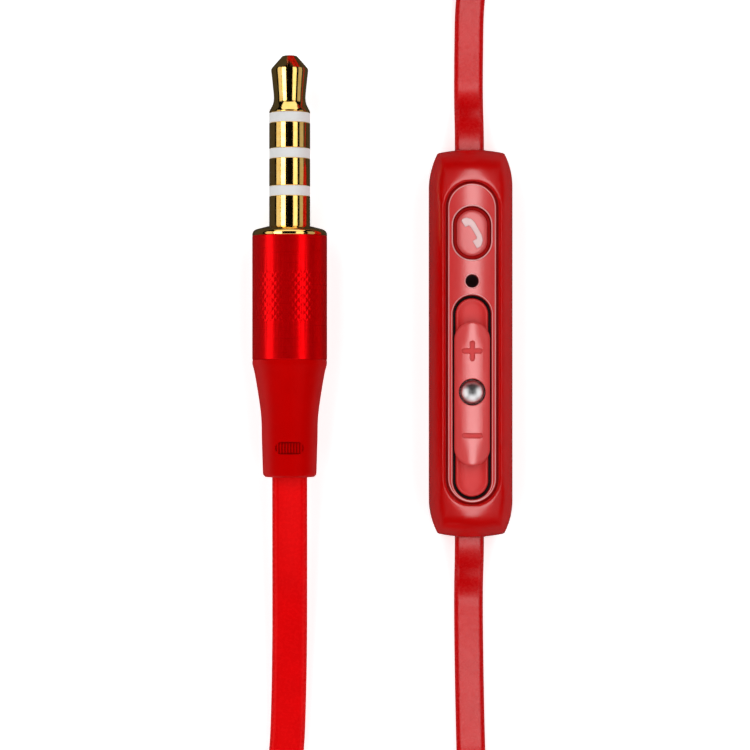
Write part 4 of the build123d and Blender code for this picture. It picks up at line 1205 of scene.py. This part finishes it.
def arc_box(name, low, high, radiance, group):
    """A long soft box that the plug's pieces reflect, between two angles from straight above the
    plug, towards +X."""
    distance, middle_y, length = 0.25, 0.005, 0.3
    turn = math.radians((low + high) / 2)
    place = (plug_x + distance * math.sin(turn), middle_y, plug_z + distance * math.cos(turn))
    width = 2 * distance * math.tan(math.radians((high - low) / 2))
    soft_box(name, place, (plug_x, middle_y, plug_z), width, length, radiance, "reflected", group)


in_control = [front_housing, back_housing, face_panel, panel_rims, button, sign, slider_tray, slider]
control_group = lit_only("control", in_control)
soft_box("over_control", (0.003, 0, 0.062), (0.003, 0, 0), 0.013, 0.12, 4.2, "reflected", control_group)
cord_group = lit_only("branch_cords", [upper_cord, lower_cord])
for name, middle in (("over_upper_cord", 0.0385), ("over_lower_cord", -0.0365)):
    soft_box(name, (0.001, middle, 0.06), (0.001, middle, 0), 0.08, 0.015, 3.8, "reflected", cord_group)
ball_group = lit_only("ball", [frame["nodes"]["slider_ball"]])
for name, x, y in (("ball_left", -0.07, -0.012), ("ball_right", 0.07, -0.012), ("ball_near", 0.002, -0.07)):
    soft_box(name, (x, y, 0.035), (0, ball_y, ball_floor), 0.08, 0.11, 1.2, "reflected", ball_group)
gold_group = lit_only("gold", [*plug_parts[:4], collar])
arc_box("gold_left", -48, -23, 4.0, gold_group)
arc_box("gold_left_edge", -78, -52, 0.9, gold_group)
arc_box("gold_right", 22, 46, 1.5, gold_group)
arc_box("gold_right_edge", 60, 86, 0.5, gold_group)
barrel_group = lit_only("barrel", [barrel])
arc_box("barrel_left", -74, -52, 3.2, barrel_group)
arc_box("barrel_right", 33, 49, 3.6, barrel_group)
for k, (x, y) in enumerate(((-0.3, 0.25), (0.3, 0.25), (-0.3, -0.25), (0.3, -0.25))):
    soft_box(f"fill_{k + 1}", (x, y, 0.42), (0, 0, 0), 0.4, 0.4, 2.2, "fill")

inside_control = [frame["nodes"][node] for node in ("slider_ball", *inside_finishes)]
lit_already = [floor, upper_cord, lower_cord] + in_control + inside_control
others = [piece for piece in scene.objects if piece.type == "MESH" and piece not in lit_already]
on_plug_names = [part.name for part in plug_parts]
off_plug = [piece for piece in others if piece.name not in on_plug_names]
ends_group = lit_only("reflects_the_ends", others)
sides_group = lit_only("reflects_the_sides", off_plug)
low_ends_group = lit_only("reflects_low_ends", [face_panel, button, slider, upper_cord, lower_cord])
for turn, end, side in ((1, "upper", "right"), (-1, "lower", "left")):
    soft_box(f"{end}_end", (0, turn * 0.42, 0.26), (0, 0, 0), 0.7, 0.3, 1.3, "reflected", ends_group)
    soft_box(f"{end}_low_end", (0, turn * 0.5, 0.1), (0, 0, 0), 0.7, 0.12, 1.2, "reflected",
             low_ends_group)
    soft_box(f"{side}_side", (turn * 0.42, 0, 0.26), (0, 0, 0), 0.3, 0.7, 2.0, "reflected", sides_group)
soft_box("over_the_rest", (0, 0, 0.4), (0, 0, 0), 0.25, 0.3, 2.5, "reflected", sides_group)
